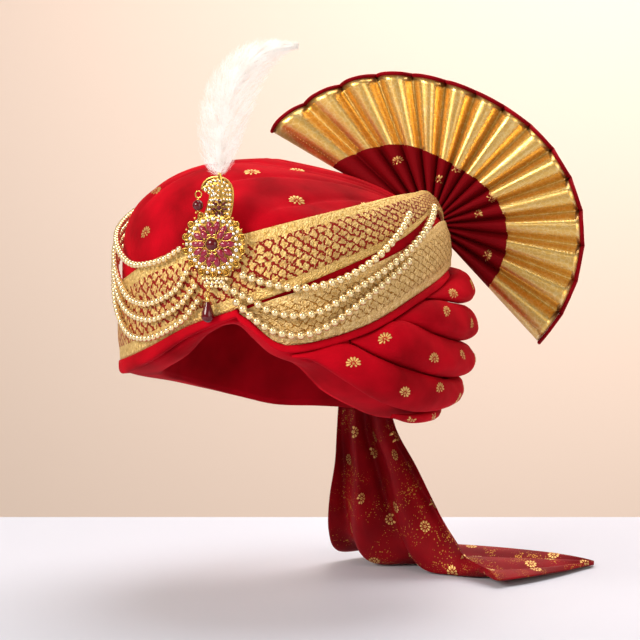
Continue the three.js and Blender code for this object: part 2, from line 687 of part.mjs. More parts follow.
// A round stone cut with a table, eight crown facets and a girdle
function cutStone(radius, height) {
  const ring = (r, z) =>
    range(8).map((i) => {
      const angle = (Math.PI * (2 * i + 1)) / 8;
      return new THREE.Vector3(r * Math.cos(angle), r * Math.sin(angle), z);
    });
  return loft([ring(radius * 0.94, 0), ring(radius, height * 0.35), ring(radius * 0.55, height)]);
}

function wireRing(radius, wire) {
  return new THREE.TorusGeometry(radius, wire, 5, 12);
}

function bead(radius, sides) {
  return new THREE.SphereGeometry(radius, sides, Math.round(sides / 2));
}

// The teardrop stone, facetted round its axis
function teardrop(height, radius) {
  const profile = [[0, 0], [0.55, 0.05], [0.94, 0.2], [1, 0.36], [0.72, 0.62], [0.3, 0.88], [0, 1]];
  const points = profile.map(([r, z]) => new THREE.Vector2(r * radius, z * height));
  return new THREE.LatheGeometry(points, 10);
}

// The plume: a leaf-shaped mass of down that bends over, with locks that stand out at its edges

const PLUME_SPINE = [
  { deg: 0, x: 0, y: 0, z: 0, width: 2.4, depth: 2.4 },
  { deg: 1, x: -0.5, y: 0, z: 8, width: 6, depth: 5 },
  { deg: 2, x: -0.5, y: 1, z: 18, width: 26, depth: 11 },
  { deg: 3, x: 1, y: 2, z: 31, width: 34, depth: 15 },
  { deg: 4, x: 4, y: 3, z: 46, width: 38, depth: 17 },
  { deg: 5, x: 9, y: 4, z: 61, width: 38, depth: 16 },
  { deg: 6, x: 17, y: 5, z: 75, width: 34, depth: 14 },
  { deg: 7, x: 29, y: 6, z: 85, width: 26, depth: 11 },
  { deg: 8, x: 43, y: 7, z: 90, width: 14, depth: 7 },
  { deg: 9, x: 56, y: 8, z: 91, width: 4, depth: 3 },
];
const PLUME_SIDES = 8;
const PLUME_RINGS = 12;
const PLUME_LOCKS = 16;
const LOCK = { radius: 5, length: 19, splay: 0.42, firstRow: 1.6, lastRow: 7.8, flat: 0.6, inset: 0.36 };

function spineAt(row) {
  const read = (column) => readTable(PLUME_SPINE, column, row);
  const point = new THREE.Vector3(read('x'), read('y'), read('z'));
  const step = 0.05;
  const rise = readTable(PLUME_SPINE, 'z', row + step) - readTable(PLUME_SPINE, 'z', row - step);
  const run = readTable(PLUME_SPINE, 'x', row + step) - readTable(PLUME_SPINE, 'x', row - step);
  return { point, lean: Math.atan2(run, rise), width: read('width'), depth: read('depth') };
}

function plume() {
  const last = PLUME_SPINE.length - 1;
  const rings = range(PLUME_RINGS + 1).map((i) => {
    const { point, lean, width, depth } = spineAt((last * i) / PLUME_RINGS);
    return range(PLUME_SIDES).map((k) => {
      const angle = (2 * Math.PI * k) / PLUME_SIDES;
      const across = (width / 2) * Math.cos(angle);
      const offset = new THREE.Vector3(across * Math.cos(lean), (depth / 2) * Math.sin(angle), -across * Math.sin(lean));
      return offset.add(point);
    });
  });
  const locks = range(PLUME_LOCKS).map((i) => {
    const side = i % 2 ? 1 : -1;
    const { point, lean, width } = spineAt(LOCK.firstRow + ((LOCK.lastRow - LOCK.firstRow) * i) / PLUME_LOCKS);
    const cone = new THREE.ConeGeometry(LOCK.radius, LOCK.length, 5).scale(1, 1, LOCK.flat);
    cone.rotateX(Math.PI / 2).translate(0, 0, LOCK.length / 4).rotateY(side * LOCK.splay);
    return cone.translate(side * width * LOCK.inset, 0, 0).rotateY(lean).translate(point.x, point.y, point.z);
  });
  return join([loft(rings), ...locks]);
}

// The bar at the strings' ends on the wearer's right: a flat strip that follows the crown
function stringBar() {
  const halfTurn = THREE.MathUtils.radToDeg(STRING_BAR.thick / 2 / BODY.halfLength);
  const rings = range(STRING_BAR_ROWS + 1).map((i) => {
    const z = STRING_BAR.low + ((STRING_BAR.high - STRING_BAR.low) * i) / STRING_BAR_ROWS;
    const corner = (side, out) => bodyPoint(STRING_BAR.deg + side * halfTurn, z, out);
    const { nearest, farthest } = STRING_BAR;
    return [corner(-1, nearest), corner(1, nearest), corner(1, farthest), corner(-1, farthest)];
  });
  return loft(rings);
}

// Assembly

const object = new THREE.Group();

const slot = fanSlot();
object.add(piece('crown_wrap', cut(crownWrap(), [slot]), 'velvet'));
object.add(piece('band_upper', goldBand(UPPER_BAND), 'brocade'));
object.add(piece('band_lower', goldBand(LOWER_BAND), 'brocade'));
object.add(piece('brow_roll', browRoll(), 'velvet'));
for (const roll of ROLLS) object.add(piece(roll.name, puffedRoll(roll), 'velvet'));
object.add(piece('fan_pleats', fanPleats(), 'fan'));
object.add(piece('fan_piping', fanPiping(), 'velvet'));
object.add(piece('tail_cloth', tailCloth(), 'tail'));

const brooch = new THREE.Group();
brooch.position.set(BROOCH.x, BROOCH.y, BROOCH.z);
brooch.rotation.x = Math.PI / 2;
brooch.add(piece('brooch_setting', broochSetting(), 'gold'));

function addLoose(name, geometry, material, { x, y, z }) {
  const mesh = piece(name, geometry, material);
  mesh.position.set(x, y, z);
  brooch.add(mesh);
}

const linkShape = wireRing(DROP_LINK.radius, DROP_LINK.wire).scale(1, DROP_LINK.stretch, 1);
addLoose('brooch_stone', cutStone(CENTRE_STONE.radius, CENTRE_STONE.height), 'garnet', CENTRE_STONE);
addLoose('mango_stone', cutStone(MANGO_STONE.radius, MANGO_STONE.height), 'garnet', MANGO_STONE);
addLoose('side_ring', wireRing(SIDE_RING.radius, SIDE_RING.wire), 'gold', SIDE_RING);
addLoose('side_bead', bead(SIDE_BEAD.radius, SIDE_BEAD.sides), 'garnet', SIDE_BEAD);
addLoose('drop_link', linkShape, 'gold', DROP_LINK);
addLoose('drop_stone', teardrop(DROP_STONE.height, DROP_STONE.radius), 'garnet', DROP_STONE);
object.add(brooch);

const feather = piece('plume', plume(), 'feather');
feather.position.set(PLUME.x, PLUME.y, PLUME.z);
object.add(feather);

for (const [name, route] of Object.entries(STRINGS)) {
  const { diameter, standoff, tiedStandoff } = name.startsWith('left') ? LEFT_PEARLS : RIGHT_PEARLS;
  const points = route.map(([deg, z], i) => {
    const tied = i === route.length - 1;
    return bodyPoint(deg, z, tied ? tiedStandoff : standoff);
  });
  const length = new THREE.CatmullRomCurve3(points).getLength();
  const steps = Math.round(length / (LEFT_PEARLS.diameter * PEARLS_PER_STEP));
  object.add(piece(name, tube(points, diameter / 2, 8, steps), 'pearl'));
}
object.add(piece('string_bar', stringBar(), 'gold'));

export default object;
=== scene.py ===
# %% [markdown]
# # A tied turban pagri
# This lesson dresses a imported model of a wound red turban. Each step says what a piece is on the
# real object, how it could be made in Blender, and why one way was chosen. Sizes are worked out in
# millimetres, because a maker measures cloth and beads so, and turned to metres at the last moment.

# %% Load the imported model
import math

import bpy
import numpy as np
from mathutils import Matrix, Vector
from mathutils.bvhtree import BVHTree


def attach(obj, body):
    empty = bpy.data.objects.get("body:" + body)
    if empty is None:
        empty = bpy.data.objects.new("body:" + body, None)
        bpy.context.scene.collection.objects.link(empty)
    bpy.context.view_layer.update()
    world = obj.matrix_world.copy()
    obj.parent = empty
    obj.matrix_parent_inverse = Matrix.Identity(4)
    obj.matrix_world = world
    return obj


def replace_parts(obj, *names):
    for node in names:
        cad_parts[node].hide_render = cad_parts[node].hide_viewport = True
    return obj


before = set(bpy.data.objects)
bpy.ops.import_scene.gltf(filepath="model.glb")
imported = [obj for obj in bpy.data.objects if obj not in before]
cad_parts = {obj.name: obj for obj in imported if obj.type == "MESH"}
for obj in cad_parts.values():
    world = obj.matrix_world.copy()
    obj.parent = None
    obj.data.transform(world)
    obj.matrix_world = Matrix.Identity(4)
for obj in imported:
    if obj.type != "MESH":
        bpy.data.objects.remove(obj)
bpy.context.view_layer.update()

MM = 0.001

# %% [markdown]
# ## Camera
# The camera comes first, since everything is compared through it. A long lens far away keeps the
# turban's proportions calm, as in a shop picture. It could be aimed with a constraint, but a plain
# rotation from two angles is easier to read and never changes by itself.

# %% Camera
CAMERA_AT = np.array([515.46, -1302.19, 109.07])
CAMERA_TURN_DEG = 20.0
CAMERA_DOWN_DEG = 3.5
LENS_MM = 101.25

camera_data = bpy.data.cameras.new("camera")
camera_data.lens = LENS_MM
camera_data.sensor_width = 36.0
camera = bpy.data.objects.new("camera", camera_data)
camera.location = Vector(CAMERA_AT * MM)
camera.rotation_euler = (math.radians(90 - CAMERA_DOWN_DEG), 0, math.radians(CAMERA_TURN_DEG))
bpy.context.scene.collection.objects.link(camera)
bpy.context.scene.camera = camera
print("camera", [round(v, 3) for v in camera.location])

# %% [markdown]
# ## Floor, backdrop and light
# A turban is shown on a pale table before a plain warm wall. One plane is the table and one the
# wall, which stands well back so that it doesn't block a look from behind. Large soft lights do
# what a studio's softboxes do: velvet needs light from the side to show its nap, and gold needs
# something bright and wide to mirror.

# %% Colours
def linear(hex_colour):
    """An sRGB hex colour as Blender's linear red, green, blue and alpha."""
    channels = [int(hex_colour[i : i + 2], 16) / 255 for i in (1, 3, 5)]
    return [c / 12.92 if c <= 0.04045 else ((c + 0.055) / 1.055) ** 2.4 for c in channels] + [1.0]


# %% One helper that adds a node with its settings and links
def add(tree, kind, inputs=None, **settings):
    """Inputs are values, sockets to link from, or nodes whose first output is linked."""
    made = tree.nodes.new("ShaderNode" + kind)
    for name, value in settings.items():
        setattr(made, name, value)
    for name, value in (inputs or {}).items():
        if isinstance(value, bpy.types.Node):
            value = value.outputs[0]
        if isinstance(value, bpy.types.NodeSocket):
            tree.links.new(value, made.inputs[name])
        else:
            made.inputs[name].default_value = value
    return made


def new_material(name):
    """An empty material and its node tree."""
    material = bpy.data.materials.new(name)
    material.use_nodes = True
    material.node_tree.nodes.clear()
    return material, material.node_tree


def ramp(node, *stops):
    """Sets a colour ramp's stops as (place, hex colour)."""
    band = node.color_ramp
    while len(band.elements) > len(stops):
        band.elements.remove(band.elements[-1])
    while len(band.elements) < len(stops):
        band.elements.new(1.0)
    for element, (place, colour) in zip(band.elements, stops):
        element.position = place
        element.color = linear(colour)
    return node

# %% Table and wall
FLOOR_Z = -196.0
TABLE_FRONT, TABLE_BACK, TABLE_HALF_WIDTH = -1800.0, 376.0, 2500.0
WALL_BACK, WALL_HALF_WIDTH, WALL_LOW, WALL_HIGH = 2500.0, 4000.0, -1500.0, 3000.0


def plain_paint(name, colour, roughness):
    material, tree = new_material(name)
    shade = add(tree, "BsdfPrincipled", {"Base Color": linear(colour), "Roughness": roughness})
    add(tree, "OutputMaterial", {"Surface": shade})
    return material


def flat_panel(name, corners, material):
    mesh = bpy.data.meshes.new(name)
    mesh.from_pydata([Vector(corner) * MM for corner in corners], [], [(0, 1, 2, 3)])
    mesh.materials.append(material)
    panel = bpy.data.objects.new(name, mesh)
    bpy.context.scene.collection.objects.link(panel)
    return panel


table_paint = plain_paint("matt_white_table", "#C8CDD9", 0.6)
wall_paint = plain_paint("warm_cream_wall", "#F8E7DA", 0.95)


def backdrop_corners(near, far, half_width, low, high):
    """Corners of a panel that runs straight across the picture, lying or standing."""
    turn = math.radians(CAMERA_TURN_DEG)
    away = np.array([-math.sin(turn), math.cos(turn)])
    across = np.array([math.cos(turn), math.sin(turn)])
    ends = ((near, -1, low), (near, 1, low), (far, 1, high), (far, -1, high))
    return [(*(away * reach + across * side * half_width), z) for reach, side, z in ends]


table_corners = backdrop_corners(TABLE_FRONT, TABLE_BACK, TABLE_HALF_WIDTH, FLOOR_Z, FLOOR_Z)
wall_corners = backdrop_corners(WALL_BACK, WALL_BACK, WALL_HALF_WIDTH, WALL_LOW, WALL_HIGH)
flat_panel("table", table_corners, table_paint)
flat_panel("wall", wall_corners, wall_paint)


# %% Lights
def soft_light(name, at, size, power, colour, towards=(20, 20, 20)):
    data = bpy.data.lights.new(name, "AREA")
    data.shape = "DISK"
    data.size = size * MM
    data.energy = power
    data.color = linear(colour)[:3]
    light = bpy.data.objects.new(name, data)
    light.location = Vector(at) * MM
    aim = Vector(towards) - Vector(at)
    light.rotation_euler = aim.to_track_quat("-Z", "Y").to_euler()
    bpy.context.scene.collection.objects.link(light)
    return light


soft_light("key_softbox", (-900, -1500, 900), 900, 38, "#FFF6EC")
soft_light("fill_softbox", (1500, -1100, 500), 1300, 12, "#FFF1E2")
soft_light("top_softbox", (100, 100, 1500), 1000, 11, "#FFFFFF")
soft_light("wall_wash", (472, 1336, 1350), 2000, 47, "#FFF1EA", towards=(-151, 2463, -800))

world = bpy.data.worlds.new("studio_air")
world.use_nodes = True
air = world.node_tree
direction = add(air, "SeparateXYZ", {"Vector": add(air, "TexCoord").outputs["Generated"]})
height = add(air, "MapRange", {"Value": direction.outputs["Z"], "From Min": -1.0})
sky = ramp(
    add(air, "ValToRGB", {"Fac": height.outputs["Result"]}),
    (0.0, "#6E5A4C"), (0.44, "#A09080"), (0.54, "#F2E6D8"),
    (0.70, "#FFFAF4"), (0.86, "#C8C2BC"), (1.0, "#A8A4A0"),
)
background = air.nodes["Background"]
background.inputs["Strength"].default_value = 0.45
air.links.new(sky.outputs["Color"], background.inputs["Color"])
bpy.context.scene.world = world
bpy.context.scene.view_settings.view_transform = "Standard"

# %% [markdown]
# ## Tables and the wound body's surface
# The turban is cloth wound round a rounded oval body. Every band, roll and string lies on that
# body, so one function gives a point on it from an angle and a height. The angle is 0 at the
# wearer's front and grows towards the wearer's left. Tables name the heights at a few angles, and a
# smooth curve runs through their rows. Sculpting by hand would look softer, but would not repeat.


# %% Reading a table along a smooth curve
def table(columns, *rows):
    """Rows of numbers under named columns."""
    return {name: np.array([row[i] for row in rows], float) for i, name in enumerate(columns.split())}


def read(rows, column, at, key="deg"):
    """A column's value at places along the key column."""
    xs, ys = rows[key], rows[column]
    slopes = np.empty_like(ys)
    slopes[1:-1] = (ys[2:] - ys[:-2]) / (xs[2:] - xs[:-2])
    slopes[0] = (ys[1] - ys[0]) / (xs[1] - xs[0])
    slopes[-1] = (ys[-1] - ys[-2]) / (xs[-1] - xs[-2])
    at = np.clip(np.asarray(at, float), xs[0], xs[-1])
    i = np.clip(np.searchsorted(xs, at, side="right") - 1, 0, len(xs) - 2)
    span = xs[i + 1] - xs[i]
    t = (at - xs[i]) / span
    ease = (3 - 2 * t) * t * t
    bend = slopes[i] * span * t * (1 - t) ** 2 - slopes[i + 1] * span * t * t * (1 - t)
    return ys[i] + (ys[i + 1] - ys[i]) * ease + bend


def smoothstep(low, high, value):
    t = np.clip((np.asarray(value, float) - low) / (high - low), 0, 1)
    return t * t * (3 - 2 * t)


# %% The body's surface
HALF_WIDTH, HALF_LENGTH = 126.0, 142.0
MIDDLE_X, MIDDLE_Y = 4.0, 26.0
SHOULDER_Z, TOP_Z = 55.0, 150.0
ROUNDNESS = 3.0
TUCK, TUCK_DEPTH = 0.17, 55.0


def body_point(deg, z, out=0.0):
    """Points on the wound body, moved out along its surface's normal."""
    deg, z, out = np.broadcast_arrays(*(np.asarray(v, float) for v in (deg, z, out)))
    angle = np.radians(deg)
    t = np.clip((z - SHOULDER_Z) / (TOP_Z - SHOULDER_Z), 0, 0.9999)
    under = np.maximum(-z / TUCK_DEPTH, 0)
    size = (1 - t**ROUNDNESS) ** (1 / ROUNDNESS) * (1 - TUCK * under**2)
    steep = (t / size) ** (ROUNDNESS - 1)
    slope = np.where(t > 0, steep * HALF_WIDTH / (TOP_Z - SHOULDER_Z), 0)
    normal = np.stack([np.sin(angle) / HALF_WIDTH, -np.cos(angle) / HALF_LENGTH, np.zeros_like(angle)], -1)
    normal /= np.linalg.norm(normal, axis=-1, keepdims=True)
    normal[..., 2] = slope
    normal /= np.linalg.norm(normal, axis=-1, keepdims=True)
    x = MIDDLE_X + HALF_WIDTH * size * np.sin(angle)
    y = MIDDLE_Y - HALF_LENGTH * size * np.cos(angle)
    return np.stack([x, y, z], -1) + normal * out[..., None]


print("front of the body at the brow", body_point(0, 40).round(1))

# %% [markdown]
# ## Meshes from grids
# Most pieces here are a grid of points bent into shape. A grid keeps its rows along the cloth, so
# a weave can follow it. Sculpted or remeshed cloth would lose that direction.


# %% Making pieces
def make_piece(name, points, faces, material, uv=None):
    """A smooth piece that rides on the turban. Points are in millimetres, and so is the pattern's UV."""
    mesh = bpy.data.meshes.new(name)
    mesh.from_pydata((np.asarray(points, float).reshape(-1, 3) * MM).tolist(), [], faces)
    if uv is not None:
        layer = mesh.uv_layers.new(name="cloth_mm")
        corners = np.empty(len(mesh.loops), int)
        mesh.loops.foreach_get("vertex_index", corners)
        layer.data.foreach_set("uv", np.asarray(uv, float).reshape(-1, 2)[corners].ravel())
    mesh.materials.append(material)
    mesh.shade_smooth()
    piece = bpy.data.objects.new(name, mesh)
    bpy.context.scene.collection.objects.link(piece)
    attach(piece, "root")
    return piece


def quads(grid):
    """The quads between neighbouring rows and columns of a grid of point numbers."""
    corners = (grid[:-1, :-1], grid[:-1, 1:], grid[1:, 1:], grid[1:, :-1])
    return np.stack(corners, -1).reshape(-1, 4).tolist()


def tube_faces(rows, around):
    """Quads through rings, and a cap on each end."""
    grid = np.arange(rows * around).reshape(rows, around)
    return quads(np.column_stack([grid, grid[:, 0]])) + [grid[0, ::-1].tolist(), grid[-1].tolist()]


def sheet_faces(rows, columns):
    """Front and back of a sheet, joined round its border."""
    front = np.arange(rows * columns).reshape(rows, columns)
    back = front + front.size
    border = np.concatenate([front[0], front[1:, -1], front[-1, -2::-1], front[-2::-1, 0]])
    return quads(front) + quads(back.T) + quads(np.stack([border + front.size, border]))


def outward(points, faces):
    """The faces turned so that the closed surface's volume is positive."""
    points = np.asarray(points, float).reshape(-1, 3)
    volume = 0.0
    for face in faces:
        a = points[face[0]]
        for b, c in zip(face[1:-1], face[2:]):
            volume += np.dot(a, np.cross(points[b], points[c]))
    return faces if volume > 0 else [tuple(reversed(face)) for face in faces]


def cloth_sheet(name, front, back, material, uv):
    """A closed sheet between two grids of points."""
    points = np.concatenate([front.reshape(-1, 3), back.reshape(-1, 3)])
    both = np.concatenate([uv.reshape(-1, 2), uv.reshape(-1, 2)])
    faces = outward(points, sheet_faces(*front.shape[:2]))
    return make_piece(name, points, faces, material, both)


def lofted(name, rings, material):
    """A closed solid through rings of points."""
    return make_piece(name, rings, outward(rings, tube_faces(*rings.shape[:2])), material)

# %% Soft noise without a seed
def ripple(*waves):
    """A smooth made-up wander: a sum of sines, each (strength, value, phase)."""
    return sum(strength * np.sin(value + phase) for strength, value, phase in waves)

# %% [markdown]
# ## Velvet
# Silk velvet is a dense pile of short upright threads. Seen from above the pile swallows light and
# looks deep red, and seen at a slant it glows, which is what Blender's sheen does. The pile itself
# is 1 mm high and finer than a pixel here, so its noise is drawn at 3 mm, just coarse enough to show.

# %% Silk velvet
PILE_MM, CRUSH_MM = 3.0, 40.0


def pile_velvet(name, deep, bright):
    """Cut-pile silk velvet between a deep and a bright colour, brushed unevenly."""
    material, tree = new_material(name)
    place = add(tree, "TexCoord").outputs["Object"]
    crush = add(tree, "TexNoise", {"Vector": place, "Scale": 1 / (CRUSH_MM * MM), "Detail": 3.0})
    colour = ramp(add(tree, "ValToRGB", {"Fac": crush}), (0.3, deep), (0.7, bright))
    pile = add(tree, "TexNoise", {"Vector": place, "Scale": 1 / (PILE_MM * MM), "Detail": 4.0})
    nap = add(tree, "Bump", {"Height": pile, "Strength": 0.25, "Distance": 0.0006})
    shade = add(tree, "BsdfPrincipled", {
        "Base Color": colour, "Roughness": 0.8, "Specular IOR Level": 0.06, "Sheen Weight": 0.5,
        "Sheen Roughness": 0.28, "Sheen Tint": linear("#D20A20"), "Normal": nap,
    })
    add(tree, "OutputMaterial", {"Surface": shade})
    return material


crimson_velvet = pile_velvet("crimson_silk_velvet", "#84000B", "#BC0219")
dark_velvet = pile_velvet("dark_piping_velvet", "#6E000C", "#900312")
print("velvet ready")

# %% [markdown]
# ## Zari brocade
# Zari is gold-wrapped thread, woven as a border. The weaver leaves red silk showing between blocks
# of gold, which makes a trellis, and closes each side with a dense gold edge. It could be modelled
# thread by thread, but a thread is 0.3 mm, so the pattern is drawn in the cloth's own millimetres
# along and across the band, and its relief is bump. Gold thread is metallic but broken up, so it is
# rougher than polished gold.

# %% Brocade
BAND_WIDTH_MM, BORDER_MM = 44.0, 7.0
BLOCK_LENGTH_MM, BLOCK_HEIGHT_MM, BLOCK_SLANT_DEG = 7.2, 5.0, 38
WARP_MM, THREAD_MM, GAP_SPREAD = 1.5, 1.2, 2.3


def zari_brocade(name, gap_colour, gap_mm, gold_deep, gold_bright):
    """A gold trellis on silk with a dense gold border on both sides."""
    material, tree = new_material(name)
    place = add(tree, "UVMap", uv_map="cloth_mm")
    sway = add(tree, "TexNoise", {"Vector": place, "Scale": 0.3, "Detail": 1.0}).outputs["Color"]
    warp = {0: sway, 1: (WARP_MM * 2, WARP_MM * 2, 0), 2: place}
    warped = add(tree, "VectorMath", warp, operation="MULTIPLY_ADD")
    slant = add(tree, "Mapping", {"Vector": warped, "Rotation": (0, 0, math.radians(BLOCK_SLANT_DEG))})
    tone = add(tree, "TexNoise", {"Vector": place, "Scale": 0.35, "Detail": 4.0, "Roughness": 0.7})
    gold = ramp(add(tree, "ValToRGB", {"Fac": tone}), (0.32, gold_deep), (0.66, gold_bright))
    uneven = add(tree, "TexNoise", {"Vector": place, "Scale": 0.42, "Detail": 2.0})
    limits = {"From Min": 0.36, "From Max": 0.64, "To Min": 0.05, "To Max": gap_mm * GAP_SPREAD}
    gap = add(tree, "MapRange", {"Value": uneven, **limits})
    bricks = {
        "Vector": slant, "Scale": 1.0, "Brick Width": BLOCK_LENGTH_MM, "Row Height": BLOCK_HEIGHT_MM,
        "Color1": (1, 1, 1, 1), "Color2": (0.72, 0.72, 0.72, 1), "Mortar": (0, 0, 0, 1),
        "Mortar Size": gap, "Mortar Smooth": 0.25,
    }
    block = add(tree, "TexBrick", bricks, offset=0.5)
    across = add(tree, "SeparateXYZ", {"Vector": place}).outputs["Y"]
    share = add(tree, "MapRange", {"Value": across, "From Max": BAND_WIDTH_MM})
    border = add(tree, "ValToRGB", {"Fac": share})
    edge = BORDER_MM / BAND_WIDTH_MM
    ramp(border, (0.0, "#FFFFFF"), (edge, "#000000"), (1 - edge, "#FFFFFF"))
    border.color_ramp.interpolation = "CONSTANT"
    solid = add(tree, "Mix", {0: border, 6: block, 7: (1, 1, 1, 1)}, data_type="RGBA").outputs[2]
    cloth = add(tree, "Mix", {0: solid, 6: linear(gap_colour), 7: gold}, data_type="RGBA").outputs[2]
    grain = add(tree, "TexVoronoi", {"Vector": place, "Scale": 1 / THREAD_MM})
    relief = add(tree, "Math", {0: grain, 1: solid}, operation="SUBTRACT")
    bump = add(tree, "Bump", {"Height": relief, "Strength": 1.0, "Distance": 0.0008}, invert=True)
    metal = add(tree, "MapRange", {"Value": solid, "To Max": 0.7})
    rough = add(tree, "MapRange", {"Value": grain, "To Min": 0.34, "To Max": 0.62})
    shade = add(tree, "BsdfPrincipled", {
        "Base Color": cloth, "Metallic": metal, "Roughness": rough,
        "Specular IOR Level": 0.15, "Normal": bump,
    })
    add(tree, "OutputMaterial", {"Surface": shade})
    return material


trellis_brocade = zari_brocade("zari_trellis_on_red", "#8A1408", 0.62, "#BC9040", "#F5D892")
leaf_brocade = zari_brocade("zari_leaf_ground", "#9C6A24", 0.3, "#CA9F52", "#FAE2A8")
print("brocade repeat", BLOCK_LENGTH_MM, "by", BLOCK_HEIGHT_MM, "mm")

# %% [markdown]
# ## Fan cloth
# The fan is one stiffened strip: red silk with a gold border 60 mm wide along its outer edge. Its
# pattern is measured inwards from the rim, so one picture could do it, but a ramp over that distance
# keeps a crisp woven line where gold meets red. The gold is tissue cloth, a smooth metallic weave
# with faint leaves, so it mirrors more than the brocade.

# %% Fan tissue
FAN_BORDER_MM, FAN_LEAF_MM = 59.0, 3.8


def tissue_border(name):
    """Gold tissue next to the rim and red silk inside, from the distance to the rim."""
    material, tree = new_material(name)
    place = add(tree, "UVMap", uv_map="cloth_mm")
    inwards = add(tree, "SeparateXYZ", {"Vector": place}).outputs["Y"]
    share = add(tree, "MapRange", {"Value": inwards, "From Max": 2 * FAN_BORDER_MM})
    is_gold = ramp(add(tree, "ValToRGB", {"Fac": share}), (0.0, "#FFFFFF"), (0.5, "#000000"))
    is_gold.color_ramp.interpolation = "CONSTANT"
    cells = {"Vector": place, "Scale": 1 / FAN_LEAF_MM, "Randomness": 0.75}
    leaves = add(tree, "TexVoronoi", cells, feature="DISTANCE_TO_EDGE")
    sparkle = add(tree, "TexNoise", {"Vector": place, "Scale": 0.5, "Detail": 6.0, "Roughness": 0.8})
    veins = ramp(add(tree, "ValToRGB", {"Fac": leaves}), (0.0, "#FBE6AC"), (0.10, "#E8BE68"))
    tone = add(tree, "Mix", {0: sparkle, 6: veins, 7: linear("#D8AE5C")}, data_type="RGBA").outputs[2]
    cloth = add(tree, "Mix", {0: is_gold, 6: linear("#74000A"), 7: tone}, data_type="RGBA").outputs[2]
    metal = add(tree, "MapRange", {"Value": is_gold, "To Max": 0.88})
    shine = add(tree, "MapRange", {"Value": is_gold, "To Min": 0.08, "To Max": 0.5})
    rough = add(tree, "MapRange", {"Value": is_gold, "To Min": 0.75, "To Max": 0.3})
    bump = add(tree, "Bump", {"Height": sparkle, "Strength": 0.35, "Distance": 0.0005})
    shade = add(tree, "BsdfPrincipled", {
        "Base Color": cloth, "Metallic": metal, "Roughness": rough,
        "Specular IOR Level": shine, "Normal": bump,
    })
    add(tree, "OutputMaterial", {"Surface": shade})
    return material


fan_tissue = tissue_border("gold_tissue_on_red_silk")

# %% [markdown]
# ## Tail cloth
# The tail is the loose end of the cloth: thin red silk with specks of gold thread. A speck is one
# lifted thread, under 1 mm, and is drawn a little larger so that it shows. The specks come in
# drifts, so a second, wider noise says where they may appear.

# %% Specked silk
SPECK_MM, DRIFT_MM = 1.7, 24.0


def specked_silk(name):
    """Thin red silk with drifts of gold specks."""
    material, tree = new_material(name)
    place = add(tree, "UVMap", uv_map="cloth_mm")
    speck = add(tree, "TexVoronoi", {"Vector": place, "Scale": 1 / SPECK_MM, "Randomness": 1.0})
    drift = add(tree, "TexNoise", {"Vector": place, "Scale": 1 / DRIFT_MM, "Detail": 2.0})
    size = add(tree, "MapRange", {"Value": drift, "From Min": 0.4, "From Max": 0.7, "To Max": 0.42})
    is_gold = add(tree, "Math", {0: speck, 1: size}, operation="LESS_THAN")
    tone = add(tree, "TexNoise", {"Vector": place, "Scale": 0.03, "Detail": 3.0})
    red = ramp(add(tree, "ValToRGB", {"Fac": tone}), (0.3, "#680009"), (0.7, "#8C0210"))
    cloth = add(tree, "Mix", {0: is_gold, 6: red, 7: linear("#C08A3A")}, data_type="RGBA").outputs[2]
    metal = add(tree, "MapRange", {"Value": is_gold, "To Max": 0.7})
    weave = add(tree, "TexNoise", {"Vector": place, "Scale": 1.2, "Detail": 3.0})
    bump = add(tree, "Bump", {"Height": weave, "Strength": 0.3, "Distance": 0.0004})
    shade = add(tree, "BsdfPrincipled", {
        "Base Color": cloth, "Metallic": metal, "Roughness": 0.6, "Specular IOR Level": 0.12,
        "Sheen Weight": 0.25, "Sheen Roughness": 0.4, "Sheen Tint": linear("#D01426"), "Normal": bump,
    })
    add(tree, "OutputMaterial", {"Surface": shade})
    return material


tail_silk = specked_silk("gold_specked_red_silk")

# %% [markdown]
# ## Metal, stones, pearls and down
# The brooch is cast brass, gilded and polished, so it is a full metal with a low roughness that
# varies a little from handling. Garnet bends light strongly (IOR 1.76) and is nearly opaque at
# this depth of red. The pearls are glass beads with a pale gold lacquer: part metal under a clear
# coat. Down is thin white keratin that light passes through.


# %% Hard finishes
def polished(name, colour, roughness, wear_mm=6.0, **sockets):
    """A smooth finish whose gloss wanders slightly, as handled things do."""
    material, tree = new_material(name)
    place = add(tree, "TexCoord").outputs["Object"]
    wear = add(tree, "TexNoise", {"Vector": place, "Scale": 1 / (wear_mm * MM), "Detail": 3.0})
    gloss = add(tree, "MapRange", {"Value": wear, "To Min": roughness * 0.6, "To Max": roughness * 1.4})
    named = {key.replace("_", " "): value for key, value in sockets.items()}
    shade = add(tree, "BsdfPrincipled", {"Base Color": linear(colour), "Roughness": gloss, **named})
    add(tree, "OutputMaterial", {"Surface": shade})
    return material


gilt_brass = polished("polished_gilt_brass", "#DDB35E", 0.24, Metallic=1.0)
lacquered_pearl = polished(
    "pale_gold_lacquered_pearl", "#F0D7A2", 0.2, Metallic=0.75, Coat_Weight=0.5, Coat_Roughness=0.06
)
garnet = polished("garnet_cabochon", "#56000A", 0.05, IOR=1.5, Specular_IOR_Level=0.5)
plum_crystal = polished("plum_cut_crystal", "#8A1A34", 0.1, IOR=1.5, Specular_IOR_Level=0.5)
clear_crystal = polished("clear_cut_crystal", "#EDE7DC", 0.05, Metallic=1.0)
amber_stud = polished("antique_gold_stud", "#A87A2C", 0.2, Metallic=0.9)
gold_thread = polished("raised_gold_thread", "#D9B068", 0.42, wear_mm=2.0, Metallic=0.7)


CLUMP_MM = 9.0
PAINTED_GLOW_STRENGTH = 0.055


